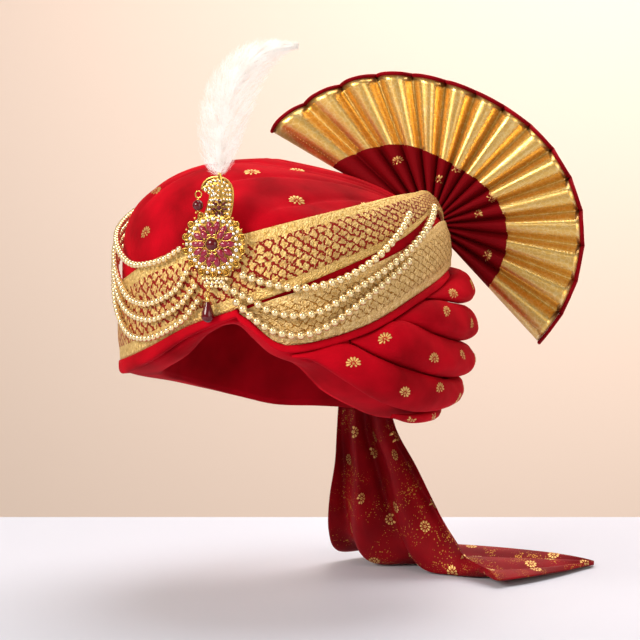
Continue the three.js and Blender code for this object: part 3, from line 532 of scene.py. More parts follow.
def soft_down(name):
    """Keratin so thin that half of the light passes, with a faint painted glow added in place of the light
    its many bounces scatter.
    """
    material, tree = new_material(name)
    place = add(tree, "TexCoord").outputs["Object"]
    clump = add(tree, "TexNoise", {"Vector": place, "Scale": 1 / (CLUMP_MM * MM), "Detail": 2.0})
    white = ramp(add(tree, "ValToRGB", {"Fac": clump}), (0.3, "#F4F1EE"), (0.7, "#FFFFFF"))
    front, through = (add(tree, kind, {"Color": white}) for kind in ("BsdfDiffuse", "BsdfTranslucent"))
    both = add(tree, "MixShader", {0: 0.5, 1: front, 2: through})
    # Painted light: a faint emission brightens the down everywhere, standing in for light scattered between
    # its barbs.
    painted_glow = add(tree, "Emission", {"Color": linear("#FFFDFB"), "Strength": PAINTED_GLOW_STRENGTH})
    add(tree, "OutputMaterial", {"Surface": add(tree, "AddShader", {0: both, 1: painted_glow})})
    return material


white_down = soft_down("white_down")
print("finishes", [material.name for material in bpy.data.materials])

# %% [markdown]
# ## Crown
# The crown is many turns of velvet drawn over a padded body and gathered towards the fan, so it is
# smooth in front and has long shallow folds that meet at the wearer's left. It is hollow: the same
# cloth turns under the rim and lines the inside. A subdivided sphere would need sculpting, so rings
# of points are used instead: over the top, down the outside, under the rim and up the hollow.

# %% Crown tables
RIM = table(
    "deg z",
    (-180, -54), (-155, -53), (-135, -45), (-118, -37), (-95, -27), (-60, -16), (-38, -8), (-20, 3),
    (-5, 21), (7, 29), (16, 17), (25, 5), (38, -4), (52, -24), (75, -41), (90, -48), (110, -53), (180, -54),
)
FOLDS, FOLD_DEPTH = 8, 6.5
FOLDS_MEET = (118.0, 60.0)
CROWN_LEAN = 0.2
GATHER_REACH = 60.0
RIM_ROUNDING = 2.2
HEAD_WIDTH, HEAD_LENGTH, HEAD_Y = 82.0, 101.0, 3.0
HEAD_SHOULDER_Z, HEAD_TOP_Z, HEAD_ROUNDNESS = 18.0, 104.0, 2.4


# %% Crown surface
def fold_dip(x, y):
    """How far the gathered folds lower the top, deepest near the place where they meet."""
    reach = np.hypot(x - FOLDS_MEET[0], y - FOLDS_MEET[1])
    turn = np.arctan2(y - FOLDS_MEET[1], x - FOLDS_MEET[0])
    wave = 1 - np.abs(np.sin(FOLDS * turn / 2 + reach / 150))
    crease = 1 - np.abs(np.sin(FOLDS * 1.7 * turn + reach / 90 + 0.6))
    return FOLD_DEPTH * (wave**2 + 0.5 * crease**4) * np.minimum(reach / GATHER_REACH, 1)


def dome_point(deg, size):
    t = (1 - size**ROUNDNESS) ** (1 / ROUNDNESS)
    angle = np.radians(deg)
    x = MIDDLE_X + HALF_WIDTH * size * np.sin(angle)
    y = MIDDLE_Y - HALF_LENGTH * size * np.cos(angle)
    inner = smoothstep(0.0, 0.2, 1 - size)
    lean = CROWN_LEAN * np.maximum(x + 10, 0) * inner
    z = SHOULDER_Z + (TOP_Z - SHOULDER_Z) * t - lean - fold_dip(x, y) * inner
    return np.stack([x, y, z], -1)


def hollow_point(deg, rim, t):
    z = rim + (HEAD_TOP_Z - rim) * t
    up = np.clip((z - HEAD_SHOULDER_Z) / (HEAD_TOP_Z - HEAD_SHOULDER_Z), 0, 1)
    size = (1 - up**HEAD_ROUNDNESS) ** (1 / HEAD_ROUNDNESS)
    angle = np.radians(deg)
    y = HEAD_Y - HEAD_LENGTH * size * np.cos(angle)
    return np.stack([HEAD_WIDTH * size * np.sin(angle), y, z], -1)


around = np.linspace(-180, 180, 361)[:-1]
rim = read(RIM, "z", around)
rings = [dome_point(around, size) for size in np.sin(np.linspace(0.04, 1, 84) * np.pi / 2)]
for share in np.linspace(0, 1, 25)[1:]:
    rings.append(body_point(around, SHOULDER_Z + (rim - SHOULDER_Z) * share))
outer_edge, inner_edge = rings[-1], hollow_point(around, rim, 0.0)
for share in np.linspace(0, 1, 8)[1:-1]:
    edge = outer_edge + (inner_edge - outer_edge) * share
    rings.append(edge - np.array([0, 0, RIM_ROUNDING]) * np.sin(np.pi * share))
rings += [hollow_point(around, rim, t) for t in np.linspace(0, 0.985, 26)]
crown = lofted("crown_velvet", np.stack(rings), crimson_velvet)
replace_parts(crown, "crown_wrap")
print("crown faces", len(crown.data.polygons))

# %% [markdown]
# ## Gold bands
# Two brocade bands cross at the brow. The upper one runs from the wearer's right temple up to the
# fan, and the lower one comes out from under it. Each is a flat strip pulled tight, so a strip of
# points is laid on the body between two tables of heights. A shrinkwrap would do the same, but the
# tables also give the weave its direction. The middle puffs out a little between the dense edges.

# %% Bands
UPPER_BAND = table(
    "deg bottom top",
    (-130, -14, 31), (-111, -13, 38), (-90, -12, 44), (-66, -8, 50), (-44, -2, 59), (-26, 9.5, 72),
    (-9, 26, 82), (7, 38, 90), (23, 51, 99), (42, 68, 108.5), (65, 88, 117.5), (83, 104, 121),
    (93, 109, 122.5), (107, 105, 121), (118, 98, 114),
)
LOWER_BAND = table(
    "deg bottom top",
    (8.5, 35.2, 36.6), (12, 30, 39.5), (15.3, 23.2, 42.5), (19.2, 16.2, 45.6), (23.6, 12.8, 48.6),
    (34, 15.8, 56.5), (51, 27, 68.5), (70, 45, 83.5), (88, 58, 97), (102, 64.8, 100), (120, 66, 94),
)
BAND_STANDOFF, BAND_THICKNESS, BAND_PUFF = 0.9, 1.5, 1.2


def gold_band(name, rows, material):
    degs = np.linspace(rows["deg"][0], rows["deg"][-1], int(np.ptp(rows["deg"])) + 1)
    share = np.linspace(0, 1, 25)
    bottom, top = read(rows, "bottom", degs)[:, None], read(rows, "top", degs)[:, None]
    heights = bottom + (top - bottom) * share
    puff = BAND_PUFF * smoothstep(0.1, 0.3, share) * smoothstep(0.1, 0.3, 1 - share)
    pull = ripple((0.25, degs[:, None] * 0.31 + share * 5, 0.4), (0.2, degs[:, None] * 0.13 - share * 9, 1.3))
    front = body_point(degs[:, None], heights, BAND_STANDOFF + BAND_THICKNESS + puff + 0.4 * pull)
    back = body_point(degs[:, None], heights, BAND_STANDOFF)
    middle = front[:, 12]
    along = np.concatenate([[0], np.cumsum(np.linalg.norm(np.diff(middle, axis=0), axis=1))])
    uv = np.stack(np.broadcast_arrays(along[:, None], share * BAND_WIDTH_MM), -1)
    band = cloth_sheet(name, front, back, material, uv)
    return band


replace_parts(gold_band("upper_brocade_band", UPPER_BAND, trellis_brocade), "band_upper")
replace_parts(gold_band("lower_brocade_band", LOWER_BAND, leaf_brocade), "band_lower")

# %% [markdown]
# ## Puffed rolls
# Round the back the cloth is laid in soft rolls, each tucked under the one above and pulled in
# under the bands. A roll is a fold with nothing inside but air and cloth, so it is fullest in the
# middle and flat where it touches the body. Pressure in Blender's cloth simulation can puff such a
# roll, but it also shifts it, and these rolls must meet in narrow creases. So each one is a row of
# D-shaped sections, with a gentle sag and small pulls added in code.

# %% Rolls
ROLLS = {
    "roll_top": table(
        "deg bottom top bulge",
        (77, 42.5, 44.5, 3), (84, 40.5, 49, 10), (94, 38, 54.5, 17), (107, 35, 60, 20), (140, 34, 64, 20),
        (190, 33, 64, 20), (222, 29, 54, 15), (234, 29.5, 47, 10), (242, 31, 40, 3),
    ),
    "roll_upper": table(
        "deg bottom top bulge",
        (61, 27.4, 28.8, 3), (68, 23.5, 36.5, 10), (76, 17.5, 42, 16), (90, 10, 38.5, 20),
        (107, 5.5, 34.6, 22), (140, 4, 33.6, 22), (190, 4, 32.6, 22), (224, 4.5, 28.4, 16),
        (238, 8, 26, 10), (247, 12.5, 21, 3),
    ),
    "roll_middle": table(
        "deg bottom top bulge",
        (44, 13.5, 15.5, 3), (51, 4.5, 20, 8), (61, -5, 28.6, 14), (76, -14.5, 17, 18), (90, -19.5, 9.6, 20),
        (107, -22.5, 5, 21), (190, -23, 3.6, 21), (226, -19.6, 3.8, 15), (238, -13, 5, 10), (246, -9, 1, 3),
    ),
    "roll_lower": table(
        "deg bottom top bulge",
        (25, 3.5, 6, 3), (31, 1.5, 8.2, 6), (42, -14.5, 13.5, 10), (51, -27, 4, 14), (61, -36, -5.5, 17),
        (76, -43.5, -15, 19), (95, -46, -21.5, 20), (190, -46, -23.5, 20), (226, -41, -20.4, 14),
        (237, -36, -21, 9), (245, -32, -25, 3),
    ),
    "roll_under": table(
        "deg bottom top bulge",
        (66, -46.5, -43, 3), (82, -54, -46, 9), (110, -57, -46.5, 13), (180, -57, -46.5, 13),
        (215, -53, -45.5, 8), (230, -46, -43, 2),
    ),
}
BROW_ROLL = table(
    "deg height bulge",
    (-111, 11, 3), (-60, 11, 3.5), (-26, 11.5, 5), (-8, 8, 5), (8, 6, 4.5), (84, 6, 4.5), (96, 6, 3),
)
ROLL_STANDOFF, OVER_BAND_STANDOFF = 1.0, 3.4
FULLNESS = 0.5
SAG = 0.16


def fold_sections(degs, bottom, top, bulge, standoff, wander):
    """D-shaped rings that lie against the body and bulge out."""
    angles = np.linspace(-np.pi / 2, np.pi / 2, 25)[1:-1]
    middle, half = (top + bottom) / 2, (top - bottom) / 2
    full = np.cos(angles) ** FULLNESS
    full = full * (1 + SAG * -np.sin(angles) * np.cos(angles))
    out = standoff[:, None] + bulge[:, None] * full * (1 + wander(degs[:, None], angles))
    base = body_point(degs, middle)
    shift = body_point(degs[:, None], middle[:, None] + half[:, None] * np.sin(angles)) - base[:, None]
    outwards = body_point(degs, 0, 1) - body_point(degs, 0, 0)
    outer = base[:, None] + shift + outwards[:, None] * out[..., None]
    drop = np.linspace(0.06, 0.94, 5)
    inner = body_point(degs[:, None], top[:, None] - 2 * half[:, None] * drop, standoff[:, None])
    return np.concatenate([outer, inner], axis=1)


def pulled(phase):
    """Small pulls along a roll, different for each phase."""

    def wander(deg, angle):
        return ripple(
            (0.022, deg * 0.16 + angle * 1.5, phase),
            (0.018, deg * 0.37 - angle * 2.3, phase * 2.1),
            (0.012, deg * 0.71 + angle * 4.1, phase * 3.7),
        )

    return wander


roll_pieces = []
for phase, (name, rows) in enumerate(ROLLS.items(), start=1):
    degs = np.linspace(rows["deg"][0], rows["deg"][-1], int(np.ptp(rows["deg"]) / 1.5))
    bottom, top, bulge = (read(rows, column, degs) for column in ("bottom", "top", "bulge"))
    standoff = ROLL_STANDOFF + (OVER_BAND_STANDOFF - ROLL_STANDOFF) * smoothstep(208, 220, degs)
    sections = fold_sections(degs, bottom + 0.1, top - 0.1, bulge, standoff, pulled(phase * 1.3))
    roll = lofted("velvet_" + name, sections, crimson_velvet)
    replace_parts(roll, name)
    roll_pieces.append(roll)
print("rolls", [len(roll.data.polygons) for roll in roll_pieces])

# %% Rolled edge under the bands
degs = np.linspace(-111, 96, 240)
upper, lower = (read(band, "bottom", degs) for band in (UPPER_BAND, LOWER_BAND))
under = np.where(degs < LOWER_BAND["deg"][0], upper, lower)
edge_top = under - 0.2
edge_bottom = edge_top - read(BROW_ROLL, "height", degs)
standoff = np.full_like(degs, ROLL_STANDOFF)
sections = fold_sections(degs, edge_bottom, edge_top, read(BROW_ROLL, "bulge", degs), standoff, pulled(0.7))
brow_edge = lofted("velvet_brow_edge", sections, crimson_velvet)
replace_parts(brow_edge, "brow_roll")
print("brow edge", [round(v, 3) for v in brow_edge.dimensions])

# %% [markdown]
# ## Fan
# The fan is a strip folded into fifteen pleats and gathered at one edge, so that the other edge
# opens like a cockscomb. Broad rounded ridges stand between narrow valleys. An array of one pleat
# bent by a modifier would make all pleats alike; here the angle runs round the fan, each pleat has
# its own small wander, and the pattern's second coordinate is the distance in from the rim.

# %% Fan shape
FAN_CENTRE = np.array([95.5, 115.0, 96.7])
FAN_TURN = math.radians(8)
FAN_ACROSS = np.array([math.cos(FAN_TURN), math.sin(FAN_TURN), 0])
FAN_FORWARD = np.array([math.sin(FAN_TURN), -math.cos(FAN_TURN), 0])
FAN_GATHER, PLEATS, PLEAT_DEPTH = 5.0, 15, 7.5
FAN_REACH = table(
    "deg reach",
    (-47, 129), (-20, 125), (5, 121), (30, 115), (60, 111), (85, 116), (110, 129), (130, 140), (150, 154),
)
FAN_THICKNESS, MEAN_REACH = 1.2, 118.0


def fan_point(deg, radius, depth):
    """Places on the fan from the angle round its foot, the reach from it and the depth."""
    angle = np.radians(deg)
    across, up = radius * np.cos(angle), radius * np.sin(angle)
    flat = across[..., None] * FAN_ACROSS + up[..., None] * np.array([0, 0, 1.0])
    return FAN_CENTRE + flat + depth[..., None] * FAN_FORWARD


def pleat_depth(u, v):
    """Broad ridges and narrow valleys, deeper towards the rim."""
    ridge = 1 - 2 * (1 - np.abs(np.sin(np.pi * PLEATS * u))) ** 1.5
    sway = ripple((0.10, u * 23, 0.5), (0.08, u * 41 + v * 3, 1.9))
    return PLEAT_DEPTH * (0.42 + 0.58 * v) * (ridge * (1 + sway) + 0.25 * ripple((0.3, u * 9 + v * 2, 0.2)))


fan_start, fan_span = FAN_REACH["deg"][0], np.ptp(FAN_REACH["deg"])
u = np.linspace(0, 1, PLEATS * 18 + 1)[:, None]
v = np.linspace(0, 1, 29)[None, :]
fan_deg = fan_start + fan_span * u
reach = read(FAN_REACH, "reach", fan_deg)
radius = FAN_GATHER + (reach - FAN_GATHER) * v
deg_grid = np.broadcast_to(fan_deg, radius.shape)
depth = pleat_depth(u, v)
front = fan_point(deg_grid, radius, depth + FAN_THICKNESS / 2)
back = fan_point(deg_grid, radius, depth - FAN_THICKNESS / 2)
along = u * math.radians(fan_span) * MEAN_REACH
uv = np.stack(np.broadcast_arrays(along, reach - radius), -1)
fan = cloth_sheet("pleated_fan", front, back, fan_tissue, uv)
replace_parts(fan, "fan_pleats")

# %% Piping round the fan's rim
PIPING_RADIUS = 1.6


def along_path(path, count):
    """Evenly spaced points on a path of points, and the spacing."""
    steps = np.linalg.norm(np.diff(path, axis=0), axis=1)
    travelled = np.concatenate([[0], np.cumsum(steps)])
    places = np.linspace(0, travelled[-1], count)
    return np.stack([np.interp(places, travelled, path[:, axis]) for axis in range(3)], -1), travelled[-1]


def frames_along(path):
    """Two directions across a path, carried along it without twisting."""
    tangent = np.gradient(path, axis=0)
    tangent /= np.linalg.norm(tangent, axis=1, keepdims=True)
    side = np.cross(tangent[0], [0.31, 0.22, 0.93])
    sides = []
    for direction in tangent:
        side = side - direction * np.dot(side, direction)
        side /= np.linalg.norm(side)
        sides.append(side)
    sides = np.array(sides)
    return sides, np.cross(tangent, sides)


def wire(path, radius, sides):
    """Rings of points round a path. The radius may change along it."""
    first, second = frames_along(path)
    angles = np.linspace(0, 2 * np.pi, sides, endpoint=False)
    ring = first[:, None] * np.cos(angles)[:, None] + second[:, None] * np.sin(angles)[:, None]
    return path[:, None] + ring * np.broadcast_to(np.asarray(radius, float), len(path))[:, None, None]


rim_u = np.linspace(0, 1, PLEATS * 18 + 1)
rim_deg = fan_start + fan_span * rim_u
rim_reach = read(FAN_REACH, "reach", rim_deg) + PIPING_RADIUS
rim_path = fan_point(rim_deg, rim_reach, pleat_depth(rim_u, 1.0))
piping = lofted("fan_rim_piping", wire(rim_path, PIPING_RADIUS, 10), dark_velvet)
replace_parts(piping, "fan_piping")
print("fan rim", round(float(np.linalg.norm(np.diff(rim_path, axis=0), axis=1).sum())), "mm")

# %% [markdown]
# ## Tail
# The tail falls from under the back rim and spreads over the table. It is one folded width of thin
# silk. A hanging cloth could be simulated, but its lie on the table is part of this turban's shape,
# so a table of sections gives its middle, width, turn and fold depth, from the nape to the tip.

# %% Tail shape
TAIL = table(
    "row x y z width turn fold lift",
    (0, 39, 114, -55.2, 44, 8, 5, 0), (1, 40, 120, -78, 52, 12, 9, 0), (2, 45, 125, -104, 68, 12, 11, 0),
    (3, 49, 130, -135, 90, 6, 12, 5), (4, 55, 136, -165, 113, -4, 11, 26),
    (5, 65, 143, -185, 134, -15, 8.6, 58), (6, 84, 150, -188.6, 150, -32, 6, 80),
    (7, 108, 158, -189, 154, -50, 5, 89), (8, 134, 168, -190, 138, -62, 4.2, 90),
    (9, 162, 181, -190.8, 108, -69, 3.6, 90), (10, 187, 195, -191.6, 68, -74, 2.8, 90),
    (11, 206, 207, -192.4, 26, -78, 1.8, 90), (12, 214, 212, -193, 8, -80, 1, 90),
)
TAIL_FOLDS, TAIL_THICKNESS, TAIL_WIDTH = 2.5, 1.0, 0.16
FOLD_STRETCH = 1.3


def tail_grid(across_count, down_count, offset):
    """Points of the folded tail, their width places and their rows."""
    place = np.linspace(0, 1, across_count)[None, :]
    row = np.linspace(0, 12, down_count)[:, None]
    turn, lift = np.radians(read(TAIL, "turn", row, "row")), np.radians(read(TAIL, "lift", row, "row"))
    zero = np.zeros_like(turn)
    across = np.stack([np.cos(turn), np.sin(turn), zero], -1)
    depth = np.stack([-np.sin(turn) * np.cos(lift), np.cos(turn) * np.cos(lift), np.sin(lift)], -1)
    wave = np.sin(2 * np.pi * TAIL_FOLDS * place)
    small = ripple((0.10, place * 31 + row * 0.9, 0.3), (0.07, place * 47 - row * 1.7, 1.1))
    middle = np.stack([read(TAIL, axis, row, "row") for axis in "xyz"], -1)
    spread = (place - 0.5) * read(TAIL, "width", row, "row")
    fold = (wave + small) * read(TAIL, "fold", row, "row") + offset
    return middle + across * spread[..., None] + depth * fold[..., None], spread, row


front, spread, row = tail_grid(81, 121, TAIL_THICKNESS / 2)
back, _, _ = tail_grid(81, 121, -TAIL_THICKNESS / 2)
spine = front[:, 40]
down = np.concatenate([[0], np.cumsum(np.linalg.norm(np.diff(spine, axis=0), axis=1))])
uv = np.stack(np.broadcast_arrays(spread * FOLD_STRETCH, down[:, None]), -1)
tail = cloth_sheet("silk_tail", front, back, tail_silk, uv)
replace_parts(tail, "tail_cloth")
length = down[-1] * MM
print("tail length", round(down[-1]), "mm")

# %% [markdown]
# ## Gold flowers in the velvet
# Small flowers of gold thread are woven into the velvet, about 50 mm apart. A picture could be
# wrapped round the cloth, but raised thread catches light along its edge, so each flower is a small
# mesh of petals laid on the surface: a ray finds the cloth, and each petal's points are cast onto it.

# %% Laying small shapes on a surface
THREAD_RELIEF_MM, EDGE_RELIEF_MM = 0.5, 0.12


def surface_of(piece):
    """A search tree over a piece's faces, in millimetres."""
    mesh = piece.data
    points = [vertex.co / MM for vertex in mesh.vertices]
    return BVHTree.FromPolygons(points, [tuple(polygon.vertices) for polygon in mesh.polygons])


def petal(angle_deg, near, far, half_width, squash_y=1.0):
    """A leaf-shaped outline that points away from the flower's middle, and its raised centre line."""
    angle = math.radians(angle_deg)
    out, side = np.array([[math.cos(angle), math.sin(angle)], [-math.sin(angle), math.cos(angle)]])
    shares = ((0, 0), (0.45, 0.8), (0.8, 1), (1, 0), (0.8, -1), (0.45, -0.8), (0.65, 0))
    reach = far - near
    points = [out * (near + reach * along) + side * half_width * wide for along, wide in shares]
    return np.array(points) * [1, squash_y]


def flower_shapes(kind):
    """The petals of one woven flower: a fan-shaped sprig, or a round flower."""
    if kind == "sprig":
        shapes = [petal(angle, 1.7, 6.6, 1.0, 0.8) for angle in np.linspace(-15, 195, 8)]
        shapes += [petal(-55, 1.2, 4.6, 0.8, 0.8), petal(235, 1.2, 4.6, 0.8, 0.8)]
        shapes += [petal(angle, 0, 1.1, 0.6, 0.8) for angle in (0, 120, 240)]
        return shapes
    shapes = [petal(angle, 2.5, 6.0, 1.15) for angle in range(0, 360, 36)]
    shapes += [petal(angle, 0.2, 1.9, 0.7) for angle in range(0, 360, 72)]
    return shapes


def lay_flowers(name, piece, spots, kind="sprig", size=1.0):
    """Flowers on a piece. A spot is a point outside it, the way in, and the flower's turn."""
    tree = surface_of(piece)
    shapes = flower_shapes(kind)
    points, faces = [], []
    for spot, inwards, turn_deg in spots:
        hit, normal, _, _ = tree.ray_cast(Vector(spot), Vector(inwards))
        if hit is None:
            continue
        if normal.dot(Vector(inwards)) > 0:
            normal.negate()
        across = Vector((0, 0, 1)).cross(normal)
        across = across.normalized() if across.length > 0.05 else Vector((1, 0, 0))
        up = normal.cross(across).normalized()
        turn = math.radians(turn_deg)
        first = across * math.cos(turn) + up * math.sin(turn)
        second = up * math.cos(turn) - across * math.sin(turn)
        for shape in shapes:
            laid = []
            for i, (x, y) in enumerate(shape * size):
                above = hit + first * x + second * y + normal * 4
                near = tree.ray_cast(above, -normal, 12)[0]
                if near is None:
                    break
                laid.append(near + normal * (THREAD_RELIEF_MM if i == len(shape) - 1 else EDGE_RELIEF_MM))
            if len(laid) < len(shape):
                continue
            start, rim_count = len(points), len(shape) - 1
            points += laid
            for i in range(rim_count):
                faces.append((start + i, start + (i + 1) % rim_count, start + rim_count))
    make_piece(name, points, faces, gold_thread)
    print(name, len(spots), "spots,", len(faces), "faces")


def from_outside(deg, z, turn_deg=0.0, away=45.0):
    """A spot beside the wound body that looks straight in."""
    start, inside = body_point(deg, z, away), body_point(deg, z, 0)
    return start, (inside - start) / away, turn_deg


# %% Flowers on the crown
CROWN_SPOTS = table(
    "deg z turn",
    (5, 141, 10), (28, 122.7, -8), (61, 121.8, 12), (-33, 92, 20), (-43, 124, -10), (-64, 74, 15),
    (-78, 104, 0), (-104, 72, -12), (-112, 116, 14), (-134, 92, 8), (-150, 120, -6), (-160, 78, 12),
    (172, 102, 0), (150, 78, -10), (138, 112, 10), (118, 84, 5), (-90, 136, 22),
)
TOP_SPOTS = table("x y turn", (-30, 30, 40), (22, 2, 10), (-62, 70, -20), (30, 66, 25), (-12, 104, 60))
spots = [from_outside(deg, z, turn) for deg, z, turn in zip(*CROWN_SPOTS.values())]
spots += [((x, y, 200.0), (0, 0, -1), turn) for x, y, turn in zip(*TOP_SPOTS.values())]
lay_flowers("crown_gold_flowers", crown, spots)

# %% Flowers on the rolls
FLOWER_STEP_DEG = 17.0
for number, (roll, rows) in enumerate(zip(roll_pieces, ROLLS.values())):
    first, last = rows["deg"][0] + 10 + 8 * (number % 2), rows["deg"][-1] - 10
    spots = []
    for i, deg in enumerate(np.arange(first, last, FLOWER_STEP_DEG)):
        low, high = read(rows, "bottom", deg), read(rows, "top", deg)
        share = 0.5 + 0.18 * math.sin(i * 2.4 + number)
        spots.append(from_outside(deg, low + (high - low) * share, 25 * math.sin(i * 1.7 + number)))
    lay_flowers(roll.name + "_flowers", roll, spots, size=0.92)

# %% Flowers on the tail
normal_grid = np.cross(np.gradient(front, axis=0), np.gradient(front, axis=1))
normal_grid /= np.linalg.norm(normal_grid, axis=-1, keepdims=True)
sheet_side = np.sign(np.sum((front - back) * normal_grid))
spots = []
for r in range(9, 118, 10):
    for c in range(12 if (r // 10) % 2 else 24, 78, 25):
        at = (min(r + int(3 * math.sin(c * 1.3)), 118), c + int(4 * math.sin(r * 0.7)))
        out = normal_grid[at] * sheet_side
        spots.append((front[at] + out * 6, -out, 30 * math.sin(at[0] + at[1])))
        spots.append((back[at] - out * 6, out, 30 * math.sin(at[0] - at[1])))
lay_flowers("tail_gold_flowers", tail, spots, kind="round", size=0.85)

# %% [markdown]
# ## Gold stitches on the fan
# The pleats are held by lines of small gold stitches, which show as dotted lines from the red cloth
# to the rim. A dotted texture would blur at the folds, so each stitch is a bead-like bump.

# %% Stitches and sprigs on the fan
STITCH_MM, STITCH_STEP_MM = 0.7, 3.0
OCTAHEDRON = np.array([(1, 0, 0), (-1, 0, 0), (0, 1, 0), (0, -1, 0), (0, 0, 1), (0, 0, -1)], float)
OCTAHEDRON_FACES = [(0, 2, 4), (2, 1, 4), (1, 3, 4), (3, 0, 4), (2, 0, 5), (1, 2, 5), (3, 1, 5), (0, 3, 5)]
points, faces = [], []
for line in range(PLEATS * 2):
    place_u = (line + 0.5) / (PLEATS * 2)
    deg = fan_start + fan_span * place_u
    far = float(read(FAN_REACH, "reach", deg))
    for radius_mm in np.arange(far - FAN_BORDER_MM, far - 2, STITCH_STEP_MM):
        depth_mm = pleat_depth(np.float64(place_u), (radius_mm - FAN_GATHER) / (far - FAN_GATHER))
        middle = fan_point(np.float64(deg), np.float64(radius_mm), depth_mm + FAN_THICKNESS / 2)
        start = len(points)
        points += list(middle + OCTAHEDRON * STITCH_MM)
        faces += [tuple(start + i for i in face) for face in OCTAHEDRON_FACES]
make_piece("fan_gold_stitches", points, faces, gold_thread)
spots = []
for place_u, place_v in ((0.10, 0.42), (0.3, 0.34), (0.36, 0.47), (0.57, 0.45), (0.63, 0.33), (0.83, 0.44)):
    deg = fan_start + fan_span * place_u
    middle = fan_point(deg, place_v * read(FAN_REACH, "reach", deg), np.float64(0))
    spots.append((middle + FAN_FORWARD * 20, -FAN_FORWARD, deg - 90))
    spots.append((middle - FAN_FORWARD * 20, FAN_FORWARD, deg - 90))
lay_flowers("fan_gold_sprigs", fan, spots, size=0.8)
print("stitches", len(faces) // 8)

# %% [markdown]
# ## Pearl strings
# Gold pearls of 5 and 6 mm hang in swags from under the brooch: four to the wearer's right and three to
# the left. Each string is a row of round beads on a thread. A curve with an array of spheres would
# do it, but ball centres at even steps along the route are simpler and never bunch up at a bend.


# %% Beads along a route
def ball(sides=14, rings_count=9):
    """A unit sphere's points and faces."""
    polar = np.pi * np.arange(1, rings_count)[:, None] / rings_count
    turn = 2 * np.pi * np.arange(sides) / sides
    rings = (np.sin(polar) * np.cos(turn), np.sin(polar) * np.sin(turn), np.cos(polar))
    rings = np.stack(np.broadcast_arrays(*rings), -1).reshape(-1, 3)
    points = np.concatenate([[(0, 0, 1)], rings, [(0, 0, -1)]])
    grid = np.arange(1, len(points) - 1).reshape(-1, sides)
    grid = np.column_stack([grid, grid[:, 0]])
    first, last = grid[0].tolist(), grid[-1].tolist()
    caps = [(0, a, b) for a, b in zip(first, first[1:])]
    caps += [(len(points) - 1, b, a) for a, b in zip(last, last[1:])]
    return points, caps + quads(grid.T)


BALL, BALL_FACES = ball()


def balls(centres, radius):
    return [(BALL * radius + centre, BALL_FACES) for centre in centres]


def wire_part(path, radius, sides=8):
    rings = wire(np.asarray(path, float), radius, sides)
    return rings, outward(rings, tube_faces(len(rings), sides))


def piece_of(name, parts, material):
    """One piece from many (points, faces) parts."""
    points, faces = [], []
    for part_points, part_faces in parts:
        start = len(points)
        points += list(np.asarray(part_points, float).reshape(-1, 3))
        faces += [tuple(start + i for i in face) for face in part_faces]
    return make_piece(name, points, faces, material)

# %% The strings
PEARL_MM = {"left": 5.0, "right": 6.2}
STANDOFF_MM = {"left": (6.2, 5.6), "right": (6.8, 6.4)}
PEARL_SPACING = {"left": 1.01, "right": 1.05}
THREAD_RADIUS, KNOT_RADIUS = 0.4, 0.95
STRINGS = {
    "left_string_1": ((-12, 80), (-19, 72.5), (-29, 68.6), (-37, 69.5), (-47, 77), (-60, 89), (-82, 106)),
    "left_string_2": ((-9, 64), (-14, 50), (-24, 41), (-32, 41), (-40, 46), (-50, 60), (-64, 80), (-82, 99)),
    "left_string_3": (
        (-6, 54.5), (-12, 40), (-22, 29.6), (-31, 29.4), (-40, 34.6), (-50, 47), (-64, 70), (-82, 92),
    ),
    "left_string_4": (
        (-5, 43.5), (-11, 29), (-22, 17), (-31, 14.6), (-39, 18), (-50, 32), (-64, 58), (-82, 85),
    ),
    "right_string_1": ((10, 62.6), (19, 56), (29, 53.6), (40, 59.4), (50, 71), (60, 88), (68, 103)),
    "right_string_2": (
        (4.7, 54), (11, 47), (19, 36.8), (28, 34), (36, 39.6), (44, 51), (60, 72), (74, 91), (86, 108),
    ),
    "right_string_3": (
        (8, 43.6), (13.2, 32), (20, 22.6), (28, 20), (36, 26.6), (44, 38.6), (54, 55), (65, 71),
    ),
}
for name, route in STRINGS.items():
    rows = table("row deg z", *[(i, deg, z) for i, (deg, z) in enumerate(route)])
    place = np.linspace(0, len(route) - 1, 200)
    side = name.split("_")[0]
    hanging, tied = STANDOFF_MM[side]
    standoff = hanging + (tied - hanging) * smoothstep(len(route) - 2, len(route) - 1, place)
    path = body_point(read(rows, "deg", place, "row"), read(rows, "z", place, "row"), standoff)
    length = float(np.linalg.norm(np.diff(path, axis=0), axis=1).sum())
    centres, _ = along_path(path, int(length / (PEARL_MM[side] * PEARL_SPACING[side])) + 1)
    parts = balls(centres, PEARL_MM[side] / 2)
    parts.append(wire_part(along_path(path, 60)[0], THREAD_RADIUS, 6))
    if side == "right":
        parts += balls((centres[1:] + centres[:-1]) / 2, KNOT_RADIUS)
    string = piece_of("pearls_" + name, parts, lacquered_pearl)
    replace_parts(string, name)
    print(name, round(length), "mm,", len(centres), "pearls")

# %% The bar that the strings at the wearer's right are sewn to
BAR_DEG, BAR_LOW, BAR_HIGH, BAR_STANDOFF = -83.6, 80.5, 110.5, 4.4
bar_path = body_point(BAR_DEG, np.linspace(BAR_LOW, BAR_HIGH, 24), BAR_STANDOFF)
bar_parts = [wire_part(bar_path, 1.35, 10)]
bar_parts += balls(bar_path[[0, -1]], 1.9)
for z in (83, 95, 108):
    bar_parts.append(wire_part(body_point(BAR_DEG, z, np.linspace(1, BAR_STANDOFF, 6)), 0.9))
bar = piece_of("gilt_string_bar", bar_parts, gilt_brass)
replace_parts(bar, "string_bar")

# %% [markdown]
# ## Brooch
# The sarpech is cast and gilded brass set with stones: a round rosette, a mango-shaped top that
# holds the plume, a bead at its side and a drop below. Real makers solder wire collets on a plate and
# set the stones in them. Here too: plates, wires and collets first, then stones made by one function
# for cut crystals and one for smooth cabochons. All is measured from the rosette's middle.

# %% Shapes for the brooch
BROOCH_AT = np.array([5.0, -119.4, 84.7])


